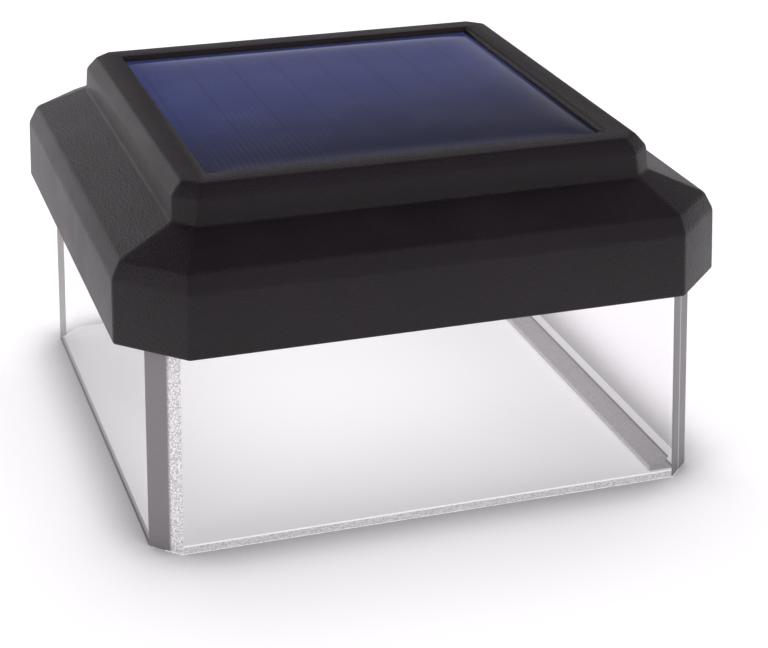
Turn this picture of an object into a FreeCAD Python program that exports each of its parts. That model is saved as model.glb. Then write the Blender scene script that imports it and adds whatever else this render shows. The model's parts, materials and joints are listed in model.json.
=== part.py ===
"""Deck post cap light: a black cap with a solar panel on a clear skirt that slips over a square post.

Millimetres.  +Z is up and the front faces -Y.  The origin is the middle of the skirt's rim.
"""
import FreeCAD, Part
import Sketcher
import math
import os
import re

V = FreeCAD.Vector

# Driving dimensions.  Each is set by itself.
SIZES = {
    # Clear skirt, round a post 88.9 mm square
    "skirt_width": 102.2,
    "skirt_taper": 1.23,
    "skirt_corner": 4.8,
    "skirt_wall": 2.8,
    "reveal": 38.0,
    "ledge_reach": 5.1,
    "ledge_thick": 1.0,
    "flange_rise": 2.8,
    "flange_thick": 2.2,
    "flange_gap": 0.3,
    "flange_lap": 1.0,
    # Cap, from the fascia's lower edge up to the frame of the panel
    "brim_overhang": 3.9,
    "fascia_height": 11.5,
    "fascia_taper": 0.44,
    "fascia_corner": 10.6,
    "band_height": 3.15,
    "band_inset": 1.66,
    "band_corner": 9.4,
    "roof_height": 4.2,
    "roof_run": 9.6,
    "deck_height": 4.2,
    "deck_taper": 0.25,
    "deck_corner": 3.5,
    "deck_top_corner": 3.9,
    "bevel_height": 2.35,
    "bevel_inset": 2.02,
    "bevel_corner": 2.8,
    "frame_width": 4.83,
    "recess_depth": 3.4,
    "recess_floor": 2.0,
    "recess_wall": 2.0,
    "cap_wall": 2.4,
    "boss_radius": 3.4,
    "rib_place": 12.0,
    "rib_half": 1.5,
    "wire_hole_radius": 3.0,
    # Seals
    "seal_thick": 0.6,
    "seal_width": 0.9,
    "gasket_thick": 0.8,
    "gasket_inset": 0.15,
    # Solar panel
    "panel_gap": 0.4,
    "tape_thick": 0.4,
    "tape_width": 4.5,
    "panel_board_thick": 1.0,
    "cell_count": 8,
    "cell_thick": 0.3,
    "cell_gap": 0.5,
    "cell_margin": 1.6,
    "cell_slack": 0.05,
    "resin_thick": 1.75,
    "resin_round": 0.9,
    # Base cover
    "tray_depth": 3.0,
    "cover_thick": 2.2,
    "cover_gap": 0.45,
    "cover_wall": 2.0,
    "cover_corner": 3.6,
    "column_radius": 4.0,
    "lug_reach": 6.0,
    "pad_roof": 1.6,
    # Cover screws
    "screw_edge": 5.0,
    "screw_radius": 1.4,
    "screw_head_radius": 2.8,
    "screw_head_height": 1.9,
    "screw_sink": 3.0,
    "screw_length": 14.0,
    "screw_slack": 0.2,
    "head_crown": 0.72,
    "head_side": 0.55,
    "thread_slack": 0.05,
    "tip_room": 0.8,
    # Main board and its screws
    "board_standoff": 6.0,
    "board_thick": 1.6,
    "board_gap": 1.0,
    "board_setback": 9.5,
    "board_screw_edge": 3.5,
    "board_post_radius": 2.6,
    "board_screw_radius": 1.0,
    "board_screw_head": 1.9,
    "board_head_height": 1.2,
    "board_screw_length": 6.0,
    # Parts on the main board
    "chip_across": 10.0,
    "chip_long": 5.0,
    "chip_wide": 4.0,
    "chip_high": 1.5,
    "inductor_across": 21.0,
    "inductor_radius": 4.0,
    "inductor_height": 5.0,
    "inductor_flange": 1.0,
    "inductor_waist": 2.9,
    "capacitor_radius": 3.15,
    "capacitor_height": 8.0,
    "capacitor_groove": 0.35,
    "capacitor_groove_place": 1.2,
    "capacitor_forward": 5.0,
    "resistor_count": 4,
    "resistor_long": 2.0,
    "resistor_wide": 1.25,
    "resistor_high": 0.5,
    "resistor_pitch": 2.6,
    # Slide switch
    "switch_across": -18.0,
    "switch_along": -20.0,
    "switch_travel": 2.0,
    "switch_case_long": 9.2,
    "switch_case_wide": 4.8,
    "switch_case_roof": 1.0,
    "slider_long": 3.6,
    "slider_wide": 2.8,
    "slider_thick": 2.2,
    "slider_slack": 0.2,
    "knob_long": 3.0,
    "knob_wide": 2.2,
    "knob_recess": 1.0,
    "knob_groove": 0.4,
    "switch_well_long": 14.0,
    "switch_well_wide": 8.0,
    "switch_well_wall": 2.0,
    # Light strips over the skirt's walls
    "strip_length": 60.0,
    "strip_width": 4.8,
    "strip_thick": 1.0,
    "lamp_long": 3.5,
    "lamp_wide": 2.8,
    "lamp_high": 0.8,
    "lamp_pitch": 20.0,
    "lamp_gap": 0.3,
    # Battery, its contacts and its bay
    "battery_radius": 7.0,
    "battery_length": 50.0,
    "sleeve_thick": 0.12,
    "nub_radius": 2.75,
    "nub_length": 1.2,
    "bay_place": 16.0,
    "bay_gap": 0.38,
    "bay_wall": 1.6,
    "leaf_room": 6.4,
    "contact_thick": 0.4,
    "contact_width": 11.0,
    "contact_foot": 1.2,
    "leaf_root": 4.6,
    "leaf_flat": 0.7,
    "leaf_rise": 3.8,
    "leaf_tail": 1.6,
    "tab_height": 2.5,
    "tab_out": 2.0,
    # Battery door and its screws
    "door_thick": 2.0,
    "door_seal_thick": 0.8,
    "door_seal_width": 1.8,
    "door_lap": 3.0,
    "door_gap": 0.3,
    "door_rest_gap": 0.3,
    "door_boss_radius": 3.2,
    "door_boss_height": 7.0,
    "door_boss_gap": 1.6,
    "door_ear": 4.5,
    "door_screw_radius": 1.2,
    "door_head_radius": 2.6,
    "door_head_height": 1.4,
    "door_screw_length": 8.0,
    "door_edge_wall": 1.5,
    # Insulated leads
    "lead_radius": 0.6,
    "lead_spacing": 2.4,
    "panel_lead_across": -22.0,
    "panel_lead_along": -8.0,
    "panel_lead_drop": 6.6,
    "panel_lead_swing": 5.3,
    "battery_lead_reach": 3.0,
    "battery_lead_foot": 2.4,
    "strip_lead_rise": 6.7,
    "jumper_radius": 0.5,
    "jumper_spacing": 1.4,
    "jumper_start": 9.0,
    "jumper_gap": 2.6,
}

# Places and sizes that follow from the driving dimensions.
PLACES = {
    "skirt_half": "skirt_width / 2",
    "skirt_lean": "skirt_taper / reveal",
    "flange_low": "reveal + flange_rise",
    "flange_top": "flange_low + flange_thick",
    "skirt_top_half": "skirt_half - skirt_lean * flange_top",
    "skirt_seat_half": "skirt_half - skirt_lean * flange_low - skirt_wall",
    "wall_shift": "(2 - sqrt(2)) * skirt_wall",
    "ledge_edge": "skirt_half - skirt_wall - ledge_reach",
    "strip_line": "skirt_top_half - skirt_wall / 2",
    # Cap
    "fascia_half": "skirt_half + brim_overhang",
    "fascia_top_half": "fascia_half - fascia_taper",
    "band_half": "fascia_top_half - band_inset",
    "deck_half": "band_half - roof_run",
    "deck_top_half": "deck_half - deck_taper",
    "bevel_half": "deck_top_half - bevel_inset",
    "opening_half": "bevel_half - frame_width",
    "fascia_top": "reveal + fascia_height",
    "band_top": "fascia_top + band_height",
    "deck_foot": "band_top + roof_height",
    "deck_top": "deck_foot + deck_height",
    "cap_top": "deck_top + bevel_height",
    "recess_top": "cap_top - recess_depth",
    "floor_low": "recess_top - recess_floor",
    "roof_slope": "roof_height / roof_run",
    "roof_drop": "cap_wall * (sqrt(1 + roof_slope * roof_slope) - roof_slope)",
    "corner_shift": "(2 - sqrt(2)) * cap_wall",
    "roof_bore_low": "band_top - roof_drop",
    "deck_bore_low": "deck_foot - roof_drop",
    "flange_half": "fascia_top_half - cap_wall - flange_gap",
    "flange_corner": "fascia_corner - corner_shift - (2 - sqrt(2)) * flange_gap",
    "shoulder_half": "flange_half - seal_width",
    "shoulder_low": "flange_top + seal_thick",
    "rib_top": "band_top + (band_half - strip_line) * roof_slope - cap_wall / 2",
    "boss_top": "deck_foot - cap_wall",
    # Cover
    "cover_half": "skirt_seat_half - cover_gap",
    "cover_rim": "flange_low - gasket_thick",
    "cover_top": "cover_rim - tray_depth",
    "post_depth": "cover_top - cover_thick",
    "cover_inner_half": "cover_half - cover_wall",
    "flange_opening_half": "cover_inner_half - flange_lap",
    "screw_place": "cover_half - screw_edge",
    "lug_corner": "2 * flange_opening_half - 2 * screw_place + lug_reach * sqrt(2)",
    "screw_seat": "post_depth + screw_sink",
    "screw_hole_radius": "screw_radius + screw_slack",
    "screw_thread_hole": "screw_radius + thread_slack",
    # Main board
    "board_low": "cover_top + board_standoff",
    "board_top": "board_low + board_thick",
    "board_half": "screw_place - column_radius - board_gap",
    "board_front": "board_setback - cover_inner_half",
    "bay_half_width": "battery_radius + sleeve_thick + bay_gap",
    "bay_front": "bay_place - bay_half_width - bay_wall",
    "board_back": "bay_front - tab_out",
    "board_middle": "(board_front + board_back) / 2",
    "board_half_wide": "(board_back - board_front) / 2",
    "board_screw_across": "board_half - board_screw_edge",
    "board_screw_along": "board_half_wide - board_screw_edge",
    # Switch
    "well_top": "post_depth + screw_sink",
    "pad_top": "well_top + pad_roof",
    "switch_rest": "switch_across - switch_travel / 2",
    "knob_low": "post_depth + knob_recess",
    "slider_low": "pad_top + slider_slack",
    "slider_top": "slider_low + slider_thick",
    # Battery, bay and door
    "door_top": "post_depth + door_thick",
    "door_ledge": "door_top + door_seal_thick",
    "door_frame_top": "door_ledge + pad_roof",
    "battery_axis": "door_top + door_rest_gap + battery_radius + sleeve_thick",
    "bay_roof": "battery_axis + bay_half_width",
    "bay_top": "bay_roof + bay_wall",
    "bay_half": "(battery_length + leaf_room) / 2 + contact_thick",
    "battery_back": "leaf_room + contact_thick - bay_half",
    "contact_face": "bay_half - contact_thick",
    "contact_low": "door_ledge + contact_foot",
    "tab_low": "bay_roof - tab_height - contact_foot",
    "door_screw_place": "bay_half + bay_wall + door_boss_gap + door_boss_radius",
    "door_half": "door_screw_place + door_ear",
    "door_half_wide": "bay_half_width + door_lap",
    "door_thread_hole": "door_screw_radius + thread_slack",
    # Panel
    "panel_half": "opening_half - panel_gap",
    "panel_board_low": "recess_top + tape_thick",
    "cells_low": "panel_board_low + panel_board_thick",
    "cells_half": "panel_half - cell_margin",
    "cell_pitch": "2 * cells_half / cell_count",
    "resin_top": "cells_low + resin_thick",
    # Light strips
    "strip_low": "flange_top + lamp_gap + lamp_high",
    "strip_top": "strip_low + strip_thick",
}

doc = FreeCAD.newDocument("post_cap_light")
nodes = []


def bound(text):
    """The expression for a formula in which sizes and places are written by their bare names."""

    def place_of(match):
        name = match.group(0)
        if name in SIZES:
            return "sizes." + name
        return "places." + name if name in PLACES else name

    return re.sub(r"[a-z][a-z_]*", place_of, str(text))


def make_sheet(name, cells):
    sheet = doc.addObject("Spreadsheet::Sheet", name)
    for row, (alias, content) in enumerate(cells.items(), 1):
        sheet.set(f"A{row}", alias)
        sheet.set(f"B{row}", content)
        sheet.setAlias(f"B{row}", alias)
    doc.recompute()
    return sheet


sizes = make_sheet("sizes", {name: str(value) for name, value in SIZES.items()})
places = make_sheet("places", {name: "=" + bound(formula) for name, formula in PLACES.items()})


def value(text):
    """The number that a formula gives now."""
    return float(places.evalExpression(bound(text)))


def bind(thing, **formulas):
    for name, formula in formulas.items():
        thing.setExpression(name.replace("__", "."), bound(formula))


def node(thing, label):
    """Give a finished sub-part its name and keep it for the files."""
    thing.Label = label
    nodes.append(thing)
    return thing


# Part primitives and booleans


def block(label, centre, half, levels):
    """An upright box: its centre and half sizes in plan, and its low and high levels."""
    box = doc.addObject("Part::Box", label)
    bind(box, Length=f"2 * ({half[0]})", Width=f"2 * ({half[1]})")
    bind(box, Height=f"({levels[1]}) - ({levels[0]})", Placement__Base__z=levels[0])
    bind(box, Placement__Base__x=f"({centre[0]}) - ({half[0]})")
    bind(box, Placement__Base__y=f"({centre[1]}) - ({half[1]})")
    return box


def rod(label, centre, radius, levels):
    """An upright cylinder."""
    cylinder = doc.addObject("Part::Cylinder", label)
    bind(cylinder, Radius=radius, Height=f"({levels[1]}) - ({levels[0]})")
    bind(cylinder, Placement__Base__x=centre[0], Placement__Base__y=centre[1])
    bind(cylinder, Placement__Base__z=levels[0])
    return cylinder


def frustum(label, low, high, turn):
    """A four-sided tapering block between two (level, half width) sections, turned about Z."""
    wedge = doc.addObject("Part::Wedge", label)
    bind(wedge, Ymin=low[0], Ymax=high[0])
    bind(wedge, Xmin=f"-({low[1]})", Xmax=low[1], Zmin=f"-({low[1]})", Zmax=low[1])
    bind(wedge, X2min=f"-({high[1]})", X2max=high[1], Z2min=f"-({high[1]})", Z2max=high[1])
    upright = FreeCAD.Rotation(V(1, 0, 0), 90)
    wedge.Placement = FreeCAD.Placement(V(0, 0, 0), FreeCAD.Rotation(V(0, 0, 1), turn) * upright)
    return wedge


def eight_sided(label, low, high):
    """A square tapering block with cut corners.

    low and high are (level, half width, length cut off each side at a corner).
    """
    sections = [(level, f"(2 * ({half}) - ({corner})) / sqrt(2)") for level, half, corner in (low, high)]
    common = doc.addObject("Part::Common", label)
    common.Base = frustum(label + "_sides", low[:2], high[:2], 0)
    common.Tool = frustum(label + "_corners", sections[0], sections[1], 45)
    return common


def fuse(label, pieces):
    joined = doc.addObject("Part::MultiFuse", label)
    joined.Shapes = pieces
    joined.Refine = True
    return joined


def cut(label, base, tools):
    result = doc.addObject("Part::Cut", label)
    result.Base = base
    result.Tool = tools[0] if len(tools) == 1 else fuse(label + "_tools", tools)
    result.Refine = True
    return result


def group(label, pieces):
    compound = doc.addObject("Part::Compound", label)
    compound.Links = pieces
    return compound


def mirror(label, source, normal):
    mirrored = doc.addObject("Part::Mirroring", label)
    mirrored.Source = source
    mirrored.Normal = normal
    return mirrored


def four(label, source):
    """The piece and its mirror images in the two upright middle planes."""
    beside = mirror(label + "_beside", source, V(1, 0, 0))
    behind = mirror(label + "_behind", source, V(0, 1, 0))
    across = mirror(label + "_across", beside, V(0, 1, 0))
    return group(label, [source, beside, behind, across])


def turn_about_z(thing, angle):
    thing.Placement = FreeCAD.Placement(V(0, 0, 0), FreeCAD.Rotation(V(0, 0, 1), angle))


# Sketched bodies


def sketch_on(body, role, name):
    plane = next(f for f in body.Origin.OriginFeatures if f.Role == role)
    sketch = body.newObject("Sketcher::SketchObject", name)
    sketch.AttachmentSupport = [(plane, "")]
    sketch.MapMode = "FlatFace"
    return sketch


def locate(sketch, geometry, point, across, up):
    """Tie a point of the sketch to its two coordinates."""
    for kind, formula in (("DistanceX", across), ("DistanceY", up)):
        number = sketch.addConstraint(
            Sketcher.Constraint(kind, -1, 1, geometry, point, value(formula))
        )
        sketch.setExpression(f"Constraints[{number}]", bound(formula))


def outline(sketch, points):
    """A closed polygon through (across, up) formulas."""
    first = sketch.GeometryCount
    corners = [V(value(across), value(up), 0) for across, up in points]
    count = len(corners)
    for i in range(count):
        sketch.addGeometry(Part.LineSegment(corners[i], corners[(i + 1) % count]), False)
    for i in range(count):
        sketch.addConstraint(
            Sketcher.Constraint("Coincident", first + i, 2, first + (i + 1) % count, 1)
        )
    for i, (across, up) in enumerate(points):
        locate(sketch, first + i, 1, across, up)


def rectangle(sketch, centre, half):
    (x, y), (a, b) = centre, half
    outline(
        sketch,
        [
            (f"({x}) - ({a})", f"({y}) - ({b})"),
            (f"({x}) + ({a})", f"({y}) - ({b})"),
            (f"({x}) + ({a})", f"({y}) + ({b})"),
            (f"({x}) - ({a})", f"({y}) + ({b})"),
        ],
    )


def circle(sketch, centre, radius):
    at = V(value(centre[0]), value(centre[1]), 0)
    ring = sketch.addGeometry(Part.Circle(at, V(0, 0, 1), value(radius)), False)
    locate(sketch, ring, 3, centre[0], centre[1])
    number = sketch.addConstraint(Sketcher.Constraint("Radius", ring, value(radius)))
    sketch.setExpression(f"Constraints[{number}]", bound(radius))


def pad(body, sketch, thickness):
    feature = body.newObject("PartDesign::Pad", body.Name + "_pad")
    feature.Profile = sketch
    bind(feature, Length=thickness)
    body.Tip = feature
    return feature


def plate(label, centre, half, levels, window=None, holes=()):
    """A flat rectangular plate with an optional rectangular window and round holes."""
    body = doc.addObject("PartDesign::Body", label)
    sketch = sketch_on(body, "XY_Plane", label + "_outline")
    bind(sketch, AttachmentOffset__Base__z=levels[0])
    rectangle(sketch, centre, half)
    if window:
        rectangle(sketch, centre, window)
    for x, y, radius in holes:
        circle(sketch, (x, y), radius)
    pad(body, sketch, f"({levels[1]}) - ({levels[0]})")
    return body


def turned(label, profile):
    """A body of revolution about its own Z axis from (radius, height) formulas."""
    body = doc.addObject("PartDesign::Body", label)
    sketch = sketch_on(body, "XZ_Plane", label + "_profile")
    outline(sketch, profile)
    revolution = body.newObject("PartDesign::Revolution", label + "_turn")
    revolution.Profile = sketch
    revolution.ReferenceAxis = (sketch, ["V_Axis"])
    revolution.Angle = 360
    body.Tip = revolution
    return body


def stand(thing, x, y, z):
    bind(thing, Placement__Base__x=x, Placement__Base__y=y, Placement__Base__z=z)
    return thing


# Cap


def cap_outside():
    levels = [
        ("reveal", "fascia_half", "fascia_corner"),
        ("fascia_top", "fascia_top_half", "fascia_corner"),
        ("band_top", "band_half", "band_corner"),
        ("deck_foot", "deck_half", "deck_corner"),
        ("deck_top", "deck_top_half", "deck_top_corner"),
        ("cap_top", "bevel_half", "bevel_corner"),
    ]
    names = ["fascia", "band", "roof", "deck", "bevel"]
    steps = zip(names, levels, levels[1:])
    return fuse("cap_outside", [eight_sided("cap_" + name, low, high) for name, low, high in steps])


def cap_inside():
    """The hollow under the roof, with a shoulder for the skirt's seal."""
    fascia_in = "fascia_corner - corner_shift"
    band_in = "band_corner - corner_shift"
    deck_in = "deck_corner - corner_shift"
    bore_half = "deck_half - cap_wall"
    steps = [
        ("fascia", ("reveal", "fascia_half - cap_wall", fascia_in),
         ("shoulder_low", "fascia_top_half - cap_wall", fascia_in)),
        ("upper", ("shoulder_low", "shoulder_half", "fascia_corner - corner_shift"),
         ("roof_bore_low", "band_half - cap_wall", band_in)),
        ("roof", ("roof_bore_low", "band_half - cap_wall", band_in),
         ("deck_bore_low", bore_half, deck_in)),
        ("deck", ("deck_bore_low", bore_half, deck_in), ("floor_low", bore_half, deck_in)),
    ]
    return [eight_sided("bore_" + name, low, high) for name, low, high in steps]


def deck_core():
    """A groove cored out of the thick ring round the panel's recess, from below."""
    outer = eight_sided(
        "core_outside",
        ("floor_low", "deck_half - cap_wall", "deck_corner - corner_shift"),
        ("deck_top", "deck_half - cap_wall", "deck_corner - corner_shift"),
    )
    island = "opening_half + recess_wall"
    core = block("core_island", ("0", "0"), (island, island), ("floor_low", "deck_top"))
    return cut("deck_core", outer, [core])


def cap_shell():
    panel_recess = block("panel_recess", ("0", "0"), ("opening_half", "opening_half"),
                         ("recess_top", "cap_top + recess_depth"))
    hollow = cut("cap_hollow", cap_outside(), cap_inside() + [deck_core(), panel_recess])
    additions = []
    for i, (a, b) in enumerate(((1, 1), (-1, 1), (-1, -1), (1, -1))):
        corner = (f"{a} * screw_place", f"{b} * screw_place")
        additions.append(rod(f"cap_boss_{i}", corner, "boss_radius", ("flange_top", "boss_top")))
        for side in (-1, 1):
            along = f"{side} * rib_place"
            out = f"{a} * strip_line"
            centre, half = ((along, out), ("rib_half", "strip_width / 2 - rib_half / 3"))
            if a != b:
                centre, half = centre[::-1], half[::-1]
            additions.append(block(f"strip_rib_{i}_{side + 1}", centre, half, ("strip_top", "rib_top")))
    solid = fuse("cap_solid", [hollow] + additions)
    holes = [rod("wire_hole", ("panel_lead_across", "panel_lead_along"), "wire_hole_radius",
                 ("floor_low - recess_floor", "recess_top + recess_floor"))]
    thread = rod("cap_thread", ("screw_place", "screw_place"), "screw_thread_hole",
                 ("flange_top - tip_room", "screw_seat + screw_length + tip_room"))
    return node(cut("cap_shell_body", solid, holes + [four("cap_threads", thread)]), "cap_shell")


# Clear skirt


def skirt_section(level, inside):
    """A section of the skirt's outer or inner face at a level."""
    half = f"skirt_half - skirt_lean * ({level})"
    if inside:
        return (level, half + " - skirt_wall", "skirt_corner - wall_shift")
    return (level, half, "skirt_corner")


def lens_skirt():
    walls = eight_sided("skirt_outside", skirt_section("0", False), skirt_section("flange_top", False))
    flange = eight_sided(
        "skirt_flange",
        ("flange_low", "flange_half", "flange_corner"),
        ("flange_top", "flange_half", "flange_corner"),
    )
    ledge = doc.addObject("Part::Common", "skirt_ledge")
    ledge_half = "(skirt_half - ledge_edge) / 2"
    ledge.Base = block("ledge_strip", (f"ledge_edge + {ledge_half}", "0"), (ledge_half, "skirt_half"),
                       ("0", "ledge_thick"))
    ledge.Tool = eight_sided("ledge_limit", skirt_section("0", False), skirt_section("flange_low", False))
    hollow = eight_sided("skirt_inside", skirt_section("0", True), skirt_section("flange_low", True))
    shell = cut("skirt_shell", fuse("skirt_solid", [walls, flange]), [hollow])
    window = eight_sided(
        "flange_window",
        ("flange_low", "flange_opening_half", "lug_corner"),
        ("flange_top", "flange_opening_half", "lug_corner"),
    )
    hole = rod("skirt_hole", ("screw_place", "screw_place"), "screw_hole_radius",
               ("flange_low", "flange_top"))
    pierced = cut("skirt_pierced", shell, [window, four("skirt_holes", hole)])
    return node(fuse("lens_skirt_body", [pierced, ledge]), "lens_skirt")


def skirt_seal():
    """The ring between the skirt's flange and the cap's shoulder."""
    outer = eight_sided(
        "seal_outside",
        ("flange_top", "flange_half", "flange_corner"),
        ("shoulder_low", "flange_half", "flange_corner"),
    )
    inner_corner = "fascia_corner - corner_shift"
    inner = eight_sided(
        "seal_inside",
        ("flange_top", "shoulder_half", inner_corner),
        ("shoulder_low", "shoulder_half", inner_corner),
    )
    return node(cut("skirt_seal_body", outer, [inner]), "skirt_seal")


# Solar panel


def solar_panel():
    middle = ("0", "0")
    full = ("panel_half", "panel_half")
    window = ("panel_half - tape_width", "panel_half - tape_width")
    node(plate("panel_tape_body", middle, full, ("recess_top", "panel_board_low"), window), "panel_tape")
    node(plate("panel_board_body", middle, full, ("panel_board_low", "cells_low")), "panel_board")
    strips = []
    for i in range(int(SIZES["cell_count"])):
        across = f"cell_pitch * ({i} + 0.5) - cells_half"
        half = ("(cell_pitch - cell_gap) / 2", "cells_half")
        strips.append(block(f"cell_{i}", (across, "0"), half, ("cells_low", "cells_low + cell_thick")))
    node(group("solar_cells_group", strips), "solar_cells")

    body = doc.addObject("PartDesign::Body", "panel_resin_body")
    sketch = sketch_on(body, "XY_Plane", "panel_resin_outline")
    bind(sketch, AttachmentOffset__Base__z="cells_low")
    rectangle(sketch, middle, full)
    resin = pad(body, sketch, "resin_thick")
    pocket_sketch = sketch_on(body, "XY_Plane", "cell_pocket_outline")
    bind(pocket_sketch, AttachmentOffset__Base__z="cells_low")
    rectangle(pocket_sketch, middle, ("cells_half", "cells_half + cell_slack"))
    pocket = body.newObject("PartDesign::Pocket", "cell_pocket")
    pocket.Profile = pocket_sketch
    pocket.Reversed = True
    bind(pocket, Length="cell_thick + cell_slack")
    body.Tip = pocket
    doc.recompute()
    assert pocket.Shape.Volume < resin.Shape.Volume, "the pocket for the cells cuts nothing"
    top = value("resin_top")
    rim = [
        f"Edge{number}"
        for number, edge in enumerate(pocket.Shape.Edges, 1)
        if all(abs(vertex.Z - top) < 1e-6 for vertex in edge.Vertexes)
    ]
    rounding = body.newObject("PartDesign::Fillet", "resin_edge")
    rounding.Base = (pocket, rim)
    bind(rounding, Radius="resin_round")
    body.Tip = rounding
    node(body, "panel_resin")


# Base cover with the battery bay, the switch well and the board posts


def door_places(label, radius, levels):
    return [rod(f"{label}_{side + 1}", (f"{side} * door_screw_place", "bay_place"), radius, levels)
            for side in (-1, 1)]


def board_corners():
    return [(f"{a} * board_screw_across", f"board_middle + {b} * board_screw_along")
            for a in (-1, 1) for b in (-1, 1)]


def cover_additions():
    column = rod("cover_column", ("screw_place", "screw_place"), "column_radius",
                 ("post_depth", "flange_low"))
    bay_outer = ("bay_half + bay_wall", "bay_half_width + bay_wall")
    frame = ("door_half + door_gap + door_edge_wall", "door_half_wide + door_gap + door_edge_wall")
    pad_half = ("switch_well_long / 2 + switch_well_wall", "switch_well_wide / 2 + switch_well_wall")
    bay_centre = ("0", "bay_place")
    switch_centre = ("switch_across", "switch_along")
    pieces = [
        four("cover_columns", column),
        block("bay_block", bay_centre, bay_outer, ("post_depth", "bay_top")),
        block("door_frame", bay_centre, frame, ("post_depth", "door_frame_top")),
        block("switch_pad", switch_centre, pad_half, ("post_depth", "pad_top")),
    ]
    pieces += door_places("door_boss", "door_boss_radius", ("post_depth", "door_ledge + door_boss_height"))
    for i, centre in enumerate(board_corners()):
        pieces.append(rod(f"board_post_{i}", centre, "board_post_radius", ("post_depth", "board_low")))
    return pieces


def cover_cuts():
    head = rod("cover_head_well", ("screw_place", "screw_place"), "screw_head_radius + screw_slack",
               ("post_depth", "screw_seat"))
    shank = rod("cover_shank_hole", ("screw_place", "screw_place"), "screw_hole_radius",
                ("screw_seat", "flange_low"))
    bay_centre = ("0", "bay_place")
    switch_centre = ("switch_across", "switch_along")
    slot = ("knob_long / 2 + switch_travel / 2 + slider_slack", "knob_wide / 2 + slider_slack")
    pieces = [
        four("cover_head_wells", head),
        four("cover_shank_holes", shank),
        block("bay_hollow", bay_centre, ("bay_half", "bay_half_width"), ("door_ledge", "bay_roof")),
        block("door_recess", bay_centre, ("door_half + door_gap", "door_half_wide + door_gap"),
              ("post_depth", "door_ledge")),
        block("switch_well", switch_centre, ("switch_well_long / 2", "switch_well_wide / 2"),
              ("post_depth", "well_top")),
        block("knob_slot", switch_centre, slot, ("well_top", "pad_top")),
    ]
    pieces += door_places("door_thread", "door_thread_hole",
                          ("door_ledge", "door_ledge + door_boss_height - tip_room"))
    slot_half = "contact_thick / 2 + cell_slack"
    for side in (-1, 1):
        across = f"{side} * (bay_half - contact_thick / 2)"
        half = (slot_half, "bay_wall")
        pieces.append(block(f"tab_slot_{side + 1}", (across, "bay_front + bay_wall / 2"), half,
                            ("tab_low - cell_slack", "tab_low + tab_height + cell_slack")))
    for i, centre in enumerate(board_corners()):
        bottom = "board_top - board_screw_length - tip_room / 2"
        pieces.append(rod(f"board_thread_{i}", centre, "board_screw_radius + thread_slack",
                          (bottom, "board_low")))
    return pieces


def base_cover():
    outside = eight_sided(
        "cover_outside",
        ("post_depth", "cover_half", "cover_corner"),
        ("cover_rim", "cover_half", "cover_corner"),
    )
    corner = "cover_corner - (2 - sqrt(2)) * cover_wall"
    inside = eight_sided(
        "cover_inside",
        ("cover_top", "cover_inner_half", corner),
        ("cover_rim", "cover_inner_half", corner),
    )
    tray = cut("cover_tray", outside, [inside])
    solid = fuse("cover_solid", [tray] + cover_additions())
    return node(cut("base_cover_body", solid, cover_cuts()), "base_cover")


def cover_gasket():
    """The ring on the cover's rim, round the outside of the screw columns."""
    inset = "cover_half - gasket_inset"
    levels = ("cover_rim", "flange_low")
    ring = cut(
        "gasket_ring",
        eight_sided("gasket_outside", *((level, inset, "cover_corner") for level in levels)),
        [eight_sided("gasket_inside", *((level, "cover_inner_half + gasket_inset", "cover_corner")
                                        for level in levels))],
    )
    clear = rod("gasket_relief", ("screw_place", "screw_place"), "column_radius + cell_slack", levels)
    return node(cut("cover_gasket_body", ring, [four("gasket_reliefs", clear)]), "cover_gasket")


# Screws


def pan_screw(label, shank, head, head_height, length):
    """A screw with its head's seat at the level 0 and its tip above."""
    crown = f"-({head_height})"
    return turned(
        label,
        [
            ("0", crown),
            (f"({head}) * head_crown", crown),
            (head, f"{crown} * head_side"),
            (head, "0"),
            (shank, "0"),
            (shank, f"({length}) - ({shank})"),
            ("0", length),
        ],
    )


def cover_screws():
    screw = pan_screw("cover_screw", "screw_radius", "screw_head_radius", "screw_head_height", "screw_length")
    stand(screw, "screw_place", "screw_place", "screw_seat")
    node(four("cover_screws_group", screw), "cover_screws")


def board_screws():
    screws = []
    for i, (x, y) in enumerate(board_corners()):
        screw = pan_screw(f"board_screw_{i}", "board_screw_radius", "board_screw_head", "board_head_height",
                          "board_screw_length")
        screw.Placement.Rotation = FreeCAD.Rotation(V(1, 0, 0), 180)
        screws.append(stand(screw, x, y, "board_top"))
    node(group("board_screws_group", screws), "board_screws")


def door_screws():
    screws = []
    for side in (-1, 1):
        screw = turned(
            f"door_screw_{side + 1}",
            [
                ("0", "0"),
                ("door_head_radius", "0"),
                ("door_screw_radius", "door_head_height"),
                ("door_screw_radius", "door_screw_length - door_screw_radius"),
                ("0", "door_screw_length"),
            ],
        )
        screws.append(stand(screw, f"{side} * door_screw_place", "bay_place", "post_depth"))
    node(group("door_screws_group", screws), "door_screws")


# Main board and what it carries


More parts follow.
